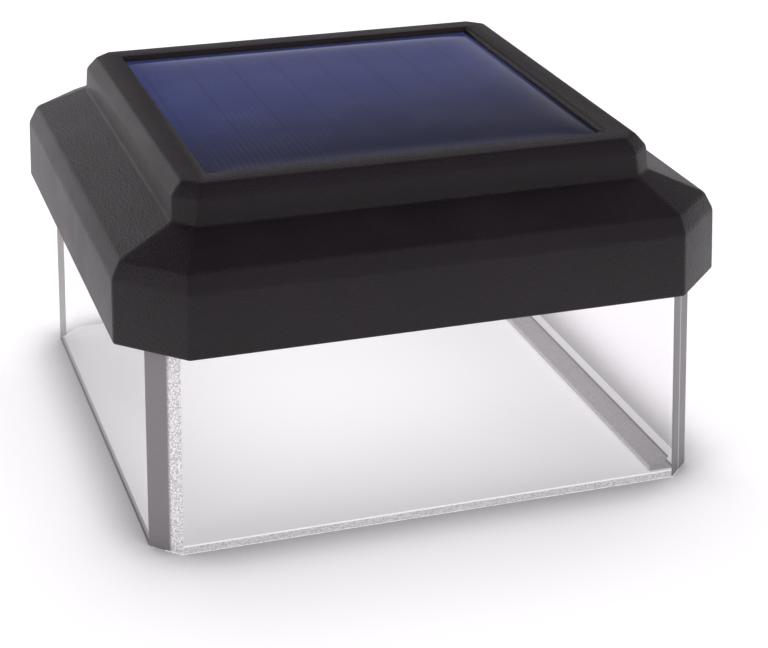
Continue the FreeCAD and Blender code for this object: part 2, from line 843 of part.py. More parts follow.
def main_board():
    holes = [(x, y, "board_screw_radius + screw_slack") for x, y in board_corners()]
    board = plate("main_board_body", ("0", "board_middle"), ("board_half", "board_half_wide"),
                  ("board_low", "board_top"), holes=holes)
    node(board, "main_board")
    chip = block("driver_chip_body", ("chip_across", "board_middle"), ("chip_long / 2", "chip_wide / 2"),
                 ("board_top", "board_top + chip_high"))
    node(chip, "driver_chip")
    drum = turned(
        "storage_inductor_body",
        [
            ("0", "0"),
            ("inductor_radius", "0"),
            ("inductor_radius", "inductor_flange"),
            ("inductor_waist", "inductor_flange"),
            ("inductor_waist", "inductor_height - inductor_flange"),
            ("inductor_radius", "inductor_height - inductor_flange"),
            ("inductor_radius", "inductor_height"),
            ("0", "inductor_height"),
        ],
    )
    node(stand(drum, "inductor_across", "board_middle", "board_top"), "storage_inductor")
    can = turned(
        "filter_capacitor_body",
        [
            ("0", "0"),
            ("capacitor_radius", "0"),
            ("capacitor_radius", "capacitor_groove_place"),
            ("capacitor_radius - capacitor_groove", "capacitor_groove_place + capacitor_groove"),
            ("capacitor_radius", "capacitor_groove_place + 2 * capacitor_groove"),
            ("capacitor_radius", "capacitor_height - capacitor_groove"),
            ("capacitor_radius - capacitor_groove", "capacitor_height"),
            ("0", "capacitor_height"),
        ],
    )
    node(stand(can, "0", "board_middle - capacitor_forward", "board_top"), "filter_capacitor")
    chips = []
    for i in range(int(SIZES["resistor_count"])):
        centre = (f"chip_across + ({i} - (resistor_count - 1) / 2) * resistor_pitch",
                  "board_middle + chip_wide / 2 + resistor_pitch")
        chips.append(block(f"resistor_{i}", centre, ("resistor_wide / 2", "resistor_long / 2"),
                           ("board_top", "board_top + resistor_high")))
    node(group("resistors_group", chips), "resistors")


# Slide switch


def slide_switch():
    centre = ("switch_across", "switch_along")
    case = cut(
        "switch_case_body",
        block("case_block", centre, ("switch_case_long / 2", "switch_case_wide / 2"),
              ("pad_top", "board_low")),
        [block("case_hollow", centre,
               ("slider_long / 2 + switch_travel / 2 + slider_slack", "slider_wide / 2 + slider_slack"),
               ("pad_top", "board_low - switch_case_roof"))],
    )
    node(case, "switch_case")
    rest = ("switch_rest", "switch_along")
    shoe = block("slider_shoe", rest, ("slider_long / 2", "slider_wide / 2"), ("slider_low", "slider_top"))
    knob = block("slider_knob", rest, ("knob_long / 2", "knob_wide / 2"), ("knob_low", "slider_top"))
    grooves = [
        block(f"knob_groove_{i}", (f"switch_rest + {i} * knob_long / 4", "switch_along"),
              ("knob_groove / 2", "knob_wide"), ("knob_low", "knob_low + knob_groove"))
        for i in (-1, 0, 1)
    ]
    node(cut("switch_slider_body", fuse("slider_solid", [shoe, knob]), grooves), "switch_slider")


# Light strips: one above each wall of the skirt


def light_strips():
    for i, name in enumerate(("front", "right", "back", "left")):
        board = plate(f"strip_{name}", ("0", "-strip_line"), ("strip_length / 2", "strip_width / 2"),
                      ("strip_low", "strip_top"))
        turn_about_z(board, 90 * i)
        node(board, f"light_strip_{name}")
        lamps = [
            block(f"lamp_{name}_{k + 1}", (f"{k} * lamp_pitch", "-strip_line"),
                  ("lamp_long / 2", "lamp_wide / 2"), ("strip_low - lamp_high", "strip_low"))
            for k in (-1, 0, 1)
        ]
        lamp_group = group(f"lamps_{name}_group", lamps)
        turn_about_z(lamp_group, 90 * i)
        node(lamp_group, f"lamps_{name}")


# Battery and contacts


def battery():
    cell = turned(
        "battery_cell_body",
        [
            ("0", "0"),
            ("battery_radius", "0"),
            ("battery_radius", "battery_length - nub_length"),
            ("nub_radius", "battery_length - nub_length"),
            ("nub_radius", "battery_length"),
            ("0", "battery_length"),
        ],
    )
    cell.Placement.Rotation = FreeCAD.Rotation(V(0, 1, 0), 90)
    node(stand(cell, "battery_back", "bay_place", "battery_axis"), "battery_cell")
    sleeve = turned(
        "battery_sleeve_body",
        [
            ("battery_radius", "sleeve_thick"),
            ("battery_radius + sleeve_thick", "sleeve_thick"),
            ("battery_radius + sleeve_thick", "battery_length - nub_length - sleeve_thick"),
            ("battery_radius", "battery_length - nub_length - sleeve_thick"),
        ],
    )
    sleeve.Placement.Rotation = FreeCAD.Rotation(V(0, 1, 0), 90)
    node(stand(sleeve, "battery_back", "bay_place", "battery_axis"), "battery_sleeve")


def contact_plate(label, side):
    """A flat plate against the bay's end wall, with a solder tab through the front wall."""
    across = f"{side} * (bay_half - contact_thick / 2)"
    face = block(label + "_face", (across, "bay_place"), ("contact_thick / 2", "contact_width / 2"),
                 ("contact_low", "bay_roof - contact_foot"))
    tab_half = "(bay_place - bay_front + tab_out) / 2"
    tab = block(label + "_tab", (across, f"bay_place - {tab_half}"), ("contact_thick / 2", tab_half),
                ("tab_low", "tab_low + tab_height"))
    return [face, tab]


def contacts():
    node(fuse("contact_plus_body", contact_plate("plus", 1)), "contact_plus")
    body = doc.addObject("PartDesign::Body", "leaf_body")
    sketch = sketch_on(body, "XZ_Plane", "leaf_profile")
    root = "-(bay_half - contact_thick)"
    tip = "battery_back"
    middle = "battery_axis"
    outline(
        sketch,
        [
            (root, f"{middle} - leaf_root"),
            (tip, f"{middle} - leaf_flat"),
            (tip, f"{middle} + leaf_flat"),
            (f"{root} + leaf_tail", f"{middle} + leaf_rise"),
            (f"{root} + leaf_tail - contact_thick", f"{middle} + leaf_rise - contact_thick / 2"),
            (f"{tip} - contact_thick", f"{middle} + leaf_flat - contact_thick / 3"),
            (f"{tip} - contact_thick", f"{middle} - leaf_flat + contact_thick / 3"),
            (root, f"{middle} - leaf_root + 1.5 * contact_thick"),
        ],
    )
    leaf = pad(body, sketch, "contact_width / 2")
    leaf.Midplane = True
    bind(body, Placement__Base__y="bay_place")
    node(fuse("contact_minus_body", contact_plate("minus", -1) + [body]), "contact_minus")


def battery_door():
    centre = ("0", "bay_place")
    panel = block("door_panel", centre, ("door_half", "door_half_wide"), ("post_depth", "door_top"))
    cuts = door_places("door_hole", "door_screw_radius + screw_slack", ("post_depth", "door_top"))
    for side in (-1, 1):
        sink = doc.addObject("Part::Cone", f"door_sink_{side + 1}")
        bind(sink, Radius1="door_head_radius + thread_slack", Height="door_head_height")
        bind(sink, Radius2="door_screw_radius + thread_slack")
        cuts.append(stand(sink, f"{side} * door_screw_place", "bay_place", "post_depth"))
    node(cut("battery_door_body", panel, cuts), "battery_door")
    inner = ("bay_half + cell_slack", "bay_half_width + cell_slack")
    outer = tuple(f"{half} + door_seal_width" for half in inner)
    node(plate("door_seal_body", centre, outer, ("door_top", "door_ledge"), inner), "door_seal")


# Insulated leads: tubes along straight runs joined by tangent arcs


def tube(points, radius):
    corners = [V(*point) for point in points]
    edges = []
    start = corners[0]
    for before, corner, after in zip(corners, corners[1:], corners[2:]):
        into = (corner - before).normalize()
        out = (after - corner).normalize()
        reach = 0.45 * min((corner - before).Length, (after - corner).Length)
        half_turn = into.getAngle(out) / 2
        bend = reach / math.tan(half_turn)
        inward = (out - into).normalize()
        middle = corner + inward * (bend / math.cos(half_turn) - bend)
        begin = corner - into * reach
        end = corner + out * reach
        edges.append(Part.LineSegment(start, begin).toShape())
        edges.append(Part.Arc(begin, middle, end).toShape())
        start = end
        print(f"  bend radius {bend:.2f}")
    edges.append(Part.LineSegment(start, corners[-1]).toShape())
    path = Part.Wire(edges)
    ring = Part.Circle(corners[0], corners[1] - corners[0], radius)
    solid = path.makePipeShell([Part.Wire(ring.toShape())], True, False)
    expected = math.pi * radius ** 2 * path.Length
    assert abs(solid.Volume - expected) < 0.01 * expected, "the tube's volume is off"
    return solid


def lead(label, routes, radius, angle=0):
    """A node of one or more tubes, turned about Z."""
    print(label)
    feature = doc.addObject("Part::Feature", label + "_tube")
    tubes = [tube(route, value(radius)) for route in routes]
    feature.Shape = tubes[0] if len(tubes) == 1 else Part.makeCompound(tubes)
    turn_about_z(feature, angle)
    node(feature, label)


def leads():
    top = value("board_top")
    gap = value("lead_spacing") / 2
    across = value("panel_lead_across")
    along = value("panel_lead_along")
    panel_low = value("panel_board_low")
    drop = value("panel_lead_drop")
    for name, side in (("red", -1), ("black", 1)):
        x = across + side * gap
        sideways = along - value("panel_lead_swing")
        route = [
            (x, along, panel_low),
            (x, along, panel_low - drop),
            (x, sideways, top + drop),
            (x, sideways, top),
        ]
        lead(f"panel_lead_{name}", [route], "lead_radius")
    tab_level = value("tab_low + tab_height / 2")
    tab_end = value("bay_front - tab_out")
    for name, side in (("red", 1), ("black", -1)):
        x = side * value("bay_half - contact_thick / 2")
        turn_at = tab_end - value("battery_lead_reach")
        foot = top + value("battery_lead_foot")
        landing = turn_at - (tab_level - foot)
        route = [
            (x, tab_end, tab_level),
            (x, turn_at, tab_level),
            (x, landing, foot),
            (x, landing, top),
        ]
        lead(f"battery_lead_{name}", [route], "lead_radius")
    strip_top = value("strip_top")
    strip_line = value("strip_line")
    start = value("board_front + board_screw_edge")
    level = top + value("strip_lead_rise")
    reach = value("strip_line - strip_width / 4")
    for name, side in (("red", 1), ("black", -1)):
        x = side * gap
        route = [(x, start, top), (x, start, level), (x, -reach, level), (x, -reach, strip_top)]
        lead(f"strip_lead_{name}", [route], "lead_radius")
    radius = value("jumper_radius")
    spacing = value("jumper_spacing")
    corner = value("2 * screw_place - sqrt(2) * (boss_radius + jumper_gap + jumper_radius)")
    rest = strip_top + radius
    for i, name in enumerate(("right", "back", "left")):
        routes = []
        for k in (0, 1):
            out = strip_line - value("strip_width / 2") + radius + spacing * (k + 0.1)
            bend = corner - (1 - k) * spacing * math.sqrt(2) - out
            begin = bend - value("jumper_start")
            routes.append([(begin, -out, rest), (bend, -out, rest), (out, -bend, rest), (out, -begin, rest)])
        lead(f"strip_jumper_{name}", routes, "jumper_radius", 90 * i)


def write_files():
    doc.recompute()
    for thing in doc.Objects:
        assert not {"Invalid", "Error"} & set(thing.State), f"{thing.Name}: {thing.State}"
    os.makedirs("parts", exist_ok=True)
    for thing in nodes:
        shape = thing.Shape
        assert not shape.isNull() and shape.isValid() and shape.Solids, f"{thing.Label} has no valid solid"
        shape.exportStep(f"parts/{thing.Label}.step")
        box = shape.BoundBox
        print(f"{thing.Label:22} solids {len(shape.Solids):2} volume {shape.Volume:10.1f} "
              f"z {box.ZMin:6.2f} to {box.ZMax:6.2f}")


cap_shell()
lens_skirt()
skirt_seal()
solar_panel()
base_cover()
cover_gasket()
cover_screws()
main_board()
board_screws()
slide_switch()
light_strips()
battery()
contacts()
battery_door()
door_screws()
leads()
write_files()
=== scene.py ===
"""Deck post cap light, dressed for a studio picture.

The CAD frame gives every part its place and size.  This script gives the parts their finishes, replaces the
few whose edges or surfaces need more shape than the frame has, and lights them on a white floor with painted shade.
"""
import json
import logging
import math
from dataclasses import dataclass
from enum import Enum
from functools import reduce
from typing import Callable, Optional, Sequence, Union

import bpy
from mathutils import Vector
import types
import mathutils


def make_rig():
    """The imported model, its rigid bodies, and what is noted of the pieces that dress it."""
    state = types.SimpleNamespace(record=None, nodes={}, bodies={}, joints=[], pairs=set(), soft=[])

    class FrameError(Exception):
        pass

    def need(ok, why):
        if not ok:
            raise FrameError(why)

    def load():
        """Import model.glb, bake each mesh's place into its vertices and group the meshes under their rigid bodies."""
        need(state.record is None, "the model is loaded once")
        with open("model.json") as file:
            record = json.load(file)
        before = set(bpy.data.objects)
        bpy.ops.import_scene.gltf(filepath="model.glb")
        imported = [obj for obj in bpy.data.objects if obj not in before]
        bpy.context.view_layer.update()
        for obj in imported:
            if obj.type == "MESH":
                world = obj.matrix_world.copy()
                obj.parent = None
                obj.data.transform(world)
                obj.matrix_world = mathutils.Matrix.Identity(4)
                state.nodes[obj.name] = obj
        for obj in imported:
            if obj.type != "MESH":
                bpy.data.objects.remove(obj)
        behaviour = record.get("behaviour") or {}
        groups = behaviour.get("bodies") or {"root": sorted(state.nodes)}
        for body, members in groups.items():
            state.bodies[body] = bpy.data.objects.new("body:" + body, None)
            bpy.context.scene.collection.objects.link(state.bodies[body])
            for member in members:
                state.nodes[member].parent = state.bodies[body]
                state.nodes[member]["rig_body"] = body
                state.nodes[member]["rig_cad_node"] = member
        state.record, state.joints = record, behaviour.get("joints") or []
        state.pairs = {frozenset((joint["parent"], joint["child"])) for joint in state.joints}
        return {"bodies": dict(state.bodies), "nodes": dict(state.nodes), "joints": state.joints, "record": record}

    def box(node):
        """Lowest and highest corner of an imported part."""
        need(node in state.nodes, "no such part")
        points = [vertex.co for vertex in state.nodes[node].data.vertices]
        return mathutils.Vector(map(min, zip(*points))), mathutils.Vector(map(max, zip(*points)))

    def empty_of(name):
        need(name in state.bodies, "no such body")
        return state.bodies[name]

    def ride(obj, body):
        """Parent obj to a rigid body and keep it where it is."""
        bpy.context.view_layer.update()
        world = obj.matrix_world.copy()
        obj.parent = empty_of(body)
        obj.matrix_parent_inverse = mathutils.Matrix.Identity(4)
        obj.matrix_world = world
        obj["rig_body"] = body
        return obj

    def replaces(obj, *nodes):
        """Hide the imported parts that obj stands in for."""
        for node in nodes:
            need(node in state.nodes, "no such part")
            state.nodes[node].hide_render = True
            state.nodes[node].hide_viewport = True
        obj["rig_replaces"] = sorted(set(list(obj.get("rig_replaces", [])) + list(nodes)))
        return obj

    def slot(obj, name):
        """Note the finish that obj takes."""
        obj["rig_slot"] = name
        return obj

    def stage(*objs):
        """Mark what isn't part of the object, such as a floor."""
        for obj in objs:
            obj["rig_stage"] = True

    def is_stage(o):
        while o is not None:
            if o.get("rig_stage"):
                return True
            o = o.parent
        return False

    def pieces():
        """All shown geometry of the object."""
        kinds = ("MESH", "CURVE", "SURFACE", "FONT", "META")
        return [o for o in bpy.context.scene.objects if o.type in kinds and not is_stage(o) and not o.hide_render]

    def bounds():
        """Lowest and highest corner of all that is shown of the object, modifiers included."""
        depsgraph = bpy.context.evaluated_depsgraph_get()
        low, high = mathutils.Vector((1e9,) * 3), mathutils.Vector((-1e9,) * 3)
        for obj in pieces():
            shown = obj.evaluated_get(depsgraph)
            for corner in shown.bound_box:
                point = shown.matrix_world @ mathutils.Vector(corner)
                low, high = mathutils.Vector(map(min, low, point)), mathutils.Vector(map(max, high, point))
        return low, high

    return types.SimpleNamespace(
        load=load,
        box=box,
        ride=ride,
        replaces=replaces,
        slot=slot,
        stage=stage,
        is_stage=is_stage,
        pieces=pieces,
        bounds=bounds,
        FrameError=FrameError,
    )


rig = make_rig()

LOG = logging.getLogger("post_cap_light")
MM = 0.001
SIZE_FILE = "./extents.json"

Colour = tuple[float, float, float]
Point = tuple[float, float, float]
Nodes = dict[str, bpy.types.Object]
Socket = bpy.types.NodeSocket
Value = Union[float, Sequence[float], Socket]

# The skirt's foot, which both the skirt's finish and its shade on the floor follow.
SKIRT_HALF = 51.1 * MM
SKIRT_CORNER = 4.8 * MM


# --------------------------------------------------
# Node wiring


class Graph:
    """A shader node tree while it is being wired up."""

    def __init__(self, tree: bpy.types.NodeTree) -> None:
        """Starts wiring the given tree."""
        self.tree = tree

    def add(self, kind: str, inputs: Optional[dict] = None, **settings: object) -> bpy.types.Node:
        """Adds a node.

        Args:
            kind: The node's type name without the ``ShaderNode`` prefix.
            inputs: Socket name or index to a plain value or to another node's output socket.
            **settings: Properties of the node itself.

        Returns:
            The new node.
        """
        node = self.tree.nodes.new("ShaderNode" + kind)
        for name, setting in settings.items():
            setattr(node, name, setting)
        for name, value in (inputs or {}).items():
            self.feed(node.inputs[name], value)
        return node

    def feed(self, socket: Socket, value: Value) -> None:
        """Links a socket to an output socket, or sets it to a plain value.

        Args:
            socket: The input socket.
            value: What it gets.
        """
        if isinstance(value, Socket):
            self.tree.links.new(value, socket)
        else:
            socket.default_value = value

    def math(self, operation: str, *values: Value, clamp: bool = False) -> Socket:
        """Adds a math node.

        Args:
            operation: What it does.
            *values: The plain values or sockets that it works on.
            clamp: Whether its result is kept between 0 and 1.

        Returns:
            Its result.
        """
        node = self.add("Math", operation=operation, use_clamp=clamp)
        for socket, value in zip(node.inputs, values):
            self.feed(socket, value)
        return node.outputs[0]

    def product(self, *masks: Value) -> Socket:
        """The product of some masks, which holds where all of them do."""
        return reduce(lambda first, second: self.math("MULTIPLY", first, second), masks)

    def largest(self, *masks: Value) -> Socket:
        """The largest of some masks, which holds where any of them does."""
        return reduce(lambda first, second: self.math("MAXIMUM", first, second), masks)

    def inverse(self, mask: Value) -> Socket:
        """One minus a mask."""
        return self.math("SUBTRACT", 1.0, mask)

    def ramp(self, value: Value, low: float, high: float, to_low: Value = 0.0,
             to_high: Value = 1.0) -> Socket:
        """Adds a smooth step.

        Args:
            value: What is stepped.
            low: Where the step starts.
            high: Where it ends.
            to_low: The result at low.
            to_high: The result at high.

        Returns:
            The result.
        """
        node = self.add("MapRange", interpolation_type="SMOOTHSTEP")
        for name, setting in (("Value", value), ("From Min", low), ("From Max", high),
                              ("To Min", to_low), ("To Max", to_high)):
            self.feed(node.inputs[name], setting)
        return node.outputs["Result"]

    def mix(self, factor: Value, first: Value, second: Value) -> Socket:
        """Mixes two colours.

        Args:
            factor: Share of the second one.
            first: The colour at 0.
            second: The colour at 1.

        Returns:
            The mixed colour.
        """
        node = self.add("Mix", data_type="RGBA")
        self.feed(node.inputs["Factor"], factor)
        for name, value in (("A", first), ("B", second)):
            socket = next(s for s in node.inputs if s.name == name and s.type == "RGBA")
            self.feed(socket, value)
        return next(s for s in node.outputs if s.type == "RGBA")

    def surface(self, inputs: dict) -> Socket:
        """The shader socket of a principled surface with the given inputs."""
        return self.add("BsdfPrincipled", inputs).outputs["BSDF"]

    def object_point(self) -> Socket:
        """The shaded point in the object's own coordinates, in metres."""
        return self.add("TexCoord").outputs["Object"]

    def axes(self, point: Socket) -> tuple[Socket, Socket, Socket]:
        """The X, Y and Z of a vector socket."""
        return tuple(self.add("SeparateXYZ", {"Vector": point}).outputs)


def rgba(colour: Colour) -> tuple[float, float, float, float]:
    """A colour with full alpha."""
    return (*colour, 1.0)


# --------------------------------------------------
# The shared grain

GRAIN_GROUP = "surface_grain"
PIT_DENSITY = 0.8
PIT_DEPTH = 0.35
MOTTLE_SCALE = 85.0


def grain_group() -> bpy.types.NodeTree:
    """The shared surface grain: a height for bumps and a slow mottle for colour and roughness.

    Returns:
        A group with the inputs Point and Grain size, and the outputs Height and Mottle.
    """
    if GRAIN_GROUP in bpy.data.node_groups:
        return bpy.data.node_groups[GRAIN_GROUP]
    tree = bpy.data.node_groups.new(GRAIN_GROUP, "ShaderNodeTree")
    tree.interface.new_socket("Point", in_out="INPUT", socket_type="NodeSocketVector")
    tree.interface.new_socket("Grain size", in_out="INPUT", socket_type="NodeSocketFloat")
    tree.interface.new_socket("Height", in_out="OUTPUT", socket_type="NodeSocketFloat")
    tree.interface.new_socket("Mottle", in_out="OUTPUT", socket_type="NodeSocketFloat")
    graph = Graph(tree)
    entry = tree.nodes.new("NodeGroupInput")
    leave = tree.nodes.new("NodeGroupOutput")
    point = entry.outputs["Point"]
    scale = graph.math("DIVIDE", 1.0, entry.outputs["Grain size"])
    fine = graph.add("TexNoise", {"Vector": point, "Scale": scale, "Detail": 3.0, "Roughness": 0.6})
    pits = graph.add("TexVoronoi", {"Vector": point, "Scale": graph.math("MULTIPLY", scale, PIT_DENSITY)})
    pitted = graph.math("MULTIPLY", pits.outputs["Distance"], PIT_DEPTH)
    slow = graph.add("TexNoise", {"Vector": point, "Scale": MOTTLE_SCALE, "Detail": 4.0, "Roughness": 0.55})
    graph.feed(leave.inputs["Height"], graph.math("ADD", fine.outputs["Fac"], pitted))
    graph.feed(leave.inputs["Mottle"], slow.outputs["Fac"])
    return tree


@dataclass(frozen=True)
class Grain:
    """The sockets of one use of the shared grain."""

    height: Socket
    mottle: Socket


def add_grain(graph: Graph, size: float) -> Grain:
    """Adds the shared grain to a material.

    Args:
        graph: The material's tree.
        size: The grain's size in metres.

    Returns:
        Its two output sockets.
    """
    node = graph.add("Group", node_tree=grain_group())
    graph.feed(node.inputs["Point"], graph.object_point())
    graph.feed(node.inputs["Grain size"], size)
    return Grain(node.outputs["Height"], node.outputs["Mottle"])


# --------------------------------------------------
# Finishes


@dataclass(frozen=True)
class Finish:
    """What every finish has: a name and a way to build its material."""

    name: str

    def wire(self, graph: Graph) -> Socket:
        """Builds the surface and returns its shader socket."""
        raise NotImplementedError

    def material(self) -> bpy.types.Material:
        """Makes the finish's material, or finds it again.

        Returns:
            The material.
        """
        if self.name in bpy.data.materials:
            return bpy.data.materials[self.name]
        material = bpy.data.materials.new(self.name)
        material.use_nodes = True
        material.node_tree.nodes.clear()
        graph = Graph(material.node_tree)
        output = graph.add("OutputMaterial")
        graph.feed(output.inputs["Surface"], self.wire(graph))
        return material


@dataclass(frozen=True)
class Moulded(Finish):
    """Moulded plastic or rubber with a fine grain.

    Attributes:
        colour: Base colour.
        roughness: Mean roughness.
        grain: Grain size in metres.
        relief: Strength of the grain's bumps.
        sheen_level: Specular level of the surface.
    """

    colour: Colour
    roughness: float = 0.45
    grain: float = 0.35 * MM
    relief: float = 0.10
    sheen_level: float = 0.5

    def lighter(self) -> Colour:
        """The colour of the mottle's light places."""
        return tuple(min(1.0, c * 1.2 + 0.001) for c in self.colour)

    def wire(self, graph: Graph) -> Socket:
        """Builds the surface.

        Args:
            graph: The material's tree.

        Returns:
            The shader socket.
        """
        grain = add_grain(graph, self.grain)
        colour = graph.mix(graph.ramp(grain.mottle, 0.35, 0.7), rgba(self.colour), rgba(self.lighter()))
        roughness = graph.ramp(grain.mottle, 0.3, 0.7, self.roughness - 0.02, self.roughness + 0.03)
        bump = graph.add("Bump", {"Strength": self.relief, "Distance": 0.2 * MM, "Height": grain.height})
        return graph.surface({"Base Color": colour, "Roughness": roughness,
                              "Specular IOR Level": self.sheen_level, "Normal": bump.outputs["Normal"]})


@dataclass(frozen=True)
class Metal(Finish):
    """Drawn or plated metal with a faint brushing along one axis.

    Attributes:
        colour: Base colour.
        roughness: Mean roughness.
        brushing: Stretch of the brushing, smallest along the strokes.
    """

    colour: Colour
    roughness: float = 0.3
    brushing: Point = (1.0, 1.0, 12.0)

    def wire(self, graph: Graph) -> Socket:
        """Builds the surface.

        Args:
            graph: The material's tree.

        Returns:
            The shader socket.
        """
        stretched = graph.add("Mapping", {"Vector": graph.object_point(), "Scale": self.brushing})
        strokes = {"Vector": stretched.outputs["Vector"], "Scale": 400.0, "Detail": 4.0}
        streaks = graph.add("TexNoise", strokes)
        grain = add_grain(graph, 0.6 * MM)
        dark = tuple(c * 0.72 for c in self.colour)
        colour = graph.mix(graph.ramp(grain.mottle, 0.35, 0.75), rgba(self.colour), rgba(dark))
        roughness = graph.ramp(streaks.outputs["Fac"], 0.3, 0.7, self.roughness - 0.08, self.roughness + 0.1)
        bump = graph.add("Bump", {"Strength": 0.08, "Distance": 0.1 * MM, "Height": streaks.outputs["Fac"]})
        return graph.surface({"Base Color": colour, "Metallic": 1.0, "Roughness": roughness,
                              "Normal": bump.outputs["Normal"]})


@dataclass(frozen=True)
class Board(Finish):
    """A coated circuit board: tracks show as a slightly lighter pattern under the coat.

    Attributes:
        patch: Size of the fields in which the tracks run one way, in pitches.
    """

    colour: Colour
    track: Colour
    pitch: float = 1.3 * MM
    patch: float = 6.0

    def wire(self, graph: Graph) -> Socket:
        """Builds the surface.

        Args:
            graph: The material's tree.

        Returns:
            The shader socket.
        """
        x, y, _ = graph.axes(graph.object_point())
        fields = {"Vector": graph.object_point(), "Scale": 1 / (self.patch * self.pitch)}
        cells = graph.add("TexVoronoi", fields, distance="MANHATTAN", feature="F1")
        along = graph.math("PINGPONG", x, self.pitch / 2)
        across = graph.math("PINGPONG", y, self.pitch / 2)
        cell_x = graph.axes(cells.outputs["Position"])[0]
        choose = graph.math("GREATER_THAN", cell_x, x)
        line = graph.math("ADD", graph.product(along, choose), graph.product(across, graph.inverse(choose)))
        mask = graph.ramp(line, self.pitch * 0.16, self.pitch * 0.24)
        colour = graph.mix(mask, rgba(self.track), rgba(self.colour))
        grain = add_grain(graph, 0.5 * MM)
        bump = graph.add("Bump", {"Strength": 0.25, "Distance": 0.05 * MM, "Height": mask}, invert=True)
        roughness = graph.ramp(grain.mottle, 0.3, 0.7, 0.22, 0.36)
        return graph.surface({"Base Color": colour, "Roughness": roughness, "Coat Weight": 0.4,
                              "Normal": bump.outputs["Normal"]})


@dataclass(frozen=True)
class SolarFace(Finish):
    """The glossy blue face of the panel, with its fine collecting lines, the gaps between the cells and painted shade
    that darkens it towards the front.

    Attributes:
        half: Half the panel's width, in metres.
        cell_pitch: Spacing of the cells across X.
        cell_gap: Width of the gap between cells.
        finger_pitch: Spacing of the collecting lines.
        shade_slant: How much the painted shade's change leans from front to back towards the left.
        deep: Colour at the front, darkened by painted shade.
        blue: Colour at the back, where the painted shade has faded out.
        finger: Colour of the collecting lines.
        seam: Colour of the gaps.
    """

    half: float = 35.8 * MM
    cell_pitch: float = 8.555 * MM
    cell_gap: float = 0.5 * MM
    finger_pitch: float = 1.1 * MM
    shade_slant: float = 0.18
    deep: Colour = (0.008, 0.010, 0.036)
    blue: Colour = (0.035, 0.048, 0.176)
    finger: Colour = (0.22, 0.23, 0.34)
    seam: Colour = (0.010, 0.012, 0.035)

    def colours(self, graph: Graph, mottle: Socket) -> Socket:
        """Builds the pattern of the cells over a blue with painted shade that darkens it towards the front.

        Args:
            graph: The material's tree.
            mottle: The grain's mottle, which makes the lines come and go.

        Returns:
            The colour.
        """
        x, y, _ = graph.axes(graph.object_point())
        # Painted shade: the blue darkens from the back towards the front, and a little towards the right.
        away = graph.math("SUBTRACT", y, graph.math("MULTIPLY", x, self.shade_slant))
        body = graph.mix(graph.ramp(away, -self.half, self.half * 0.5), rgba(self.deep), rgba(self.blue))
        off_finger = graph.math("PINGPONG", x, self.finger_pitch / 2)
        fingers = graph.ramp(off_finger, 0.02 * MM, 0.12 * MM, 1.0, 0.0)
        shown = graph.product(fingers, graph.ramp(mottle, 0.4, 0.75, 0.03, 0.14))
        lined = graph.mix(shown, body, rgba(self.finger))
        start = graph.math("ADD", x, self.cell_pitch * 4)
        off_seam = graph.math("PINGPONG", start, self.cell_pitch / 2)
        gap = graph.ramp(off_seam, self.cell_gap * 0.3, self.cell_gap * 0.6, 0.30, 0.0)
        return graph.mix(gap, lined, rgba(self.seam))

    def wire(self, graph: Graph) -> Socket:
        """Builds the surface.

        Args:
            graph: The material's tree.

        Returns:
            The shader socket.
        """
        grain = add_grain(graph, 0.8 * MM)
        roughness = graph.ramp(grain.mottle, 0.3, 0.7, 0.10, 0.16)
        bump = graph.add("Bump", {"Strength": 0.02, "Distance": 0.1 * MM, "Height": grain.mottle})
        return graph.surface({"Base Color": self.colours(graph, grain.mottle), "Roughness": roughness,
                              "IOR": 1.5, "Normal": bump.outputs["Normal"]})


@dataclass(frozen=True)
class SkirtPlace:
    """Where a shaded point lies on the skirt.

    Attributes:
        out_x: Its distance from the middle along X.
        out_y: Its distance from the middle along Y.
        deep: How far in it lies from the outer face of the nearest wall.
        turned: How much further out it lies along Y than along X.
    """

    x: Socket
    y: Socket
    z: Socket
    out_x: Socket
    out_y: Socket
    deep: Socket
    turned: Socket


@dataclass(frozen=True)
class SkirtMasks:
    """Where the skirt isn't clear.

    Attributes:
        facet: The grey corners.
        pebbled: The pebbled edge of the front left corner.
        rim: The pebbled foot of the front wall.
        foot: The bright line behind that rim, a painted highlight.
        side_line: The thin line under the left wall.
        ledge: The frosted ledge along the right wall.
    """

    facet: Socket
    pebbled: Socket
    rim: Socket
    foot: Socket
    side_line: Socket
    ledge: Socket


@dataclass(frozen=True)
class SkirtTones:
    """The colours of the skirt's frosted places, from dark to light where there are two."""

    facet: Colour = (0.232, 0.218, 0.230)
    crease: Colour = (0.60, 0.58, 0.60)
    pebbled: tuple[Colour, Colour] = ((0.50, 0.48, 0.49), (0.98, 0.96, 0.965))
    rim: tuple[Colour, Colour] = ((0.58, 0.565, 0.575), (0.98, 0.97, 0.975))
    side_line: tuple[Colour, Colour] = ((0.30, 0.285, 0.30), (0.75, 0.73, 0.75))
    # Colour of the painted highlight line behind the front rim.
    foot: Colour = (0.95, 0.94, 0.95)
    ledge: tuple[Colour, Colour] = ((0.36, 0.345, 0.36), (0.60, 0.58, 0.60))
    ledge_line: Colour = (0.24, 0.23, 0.24)


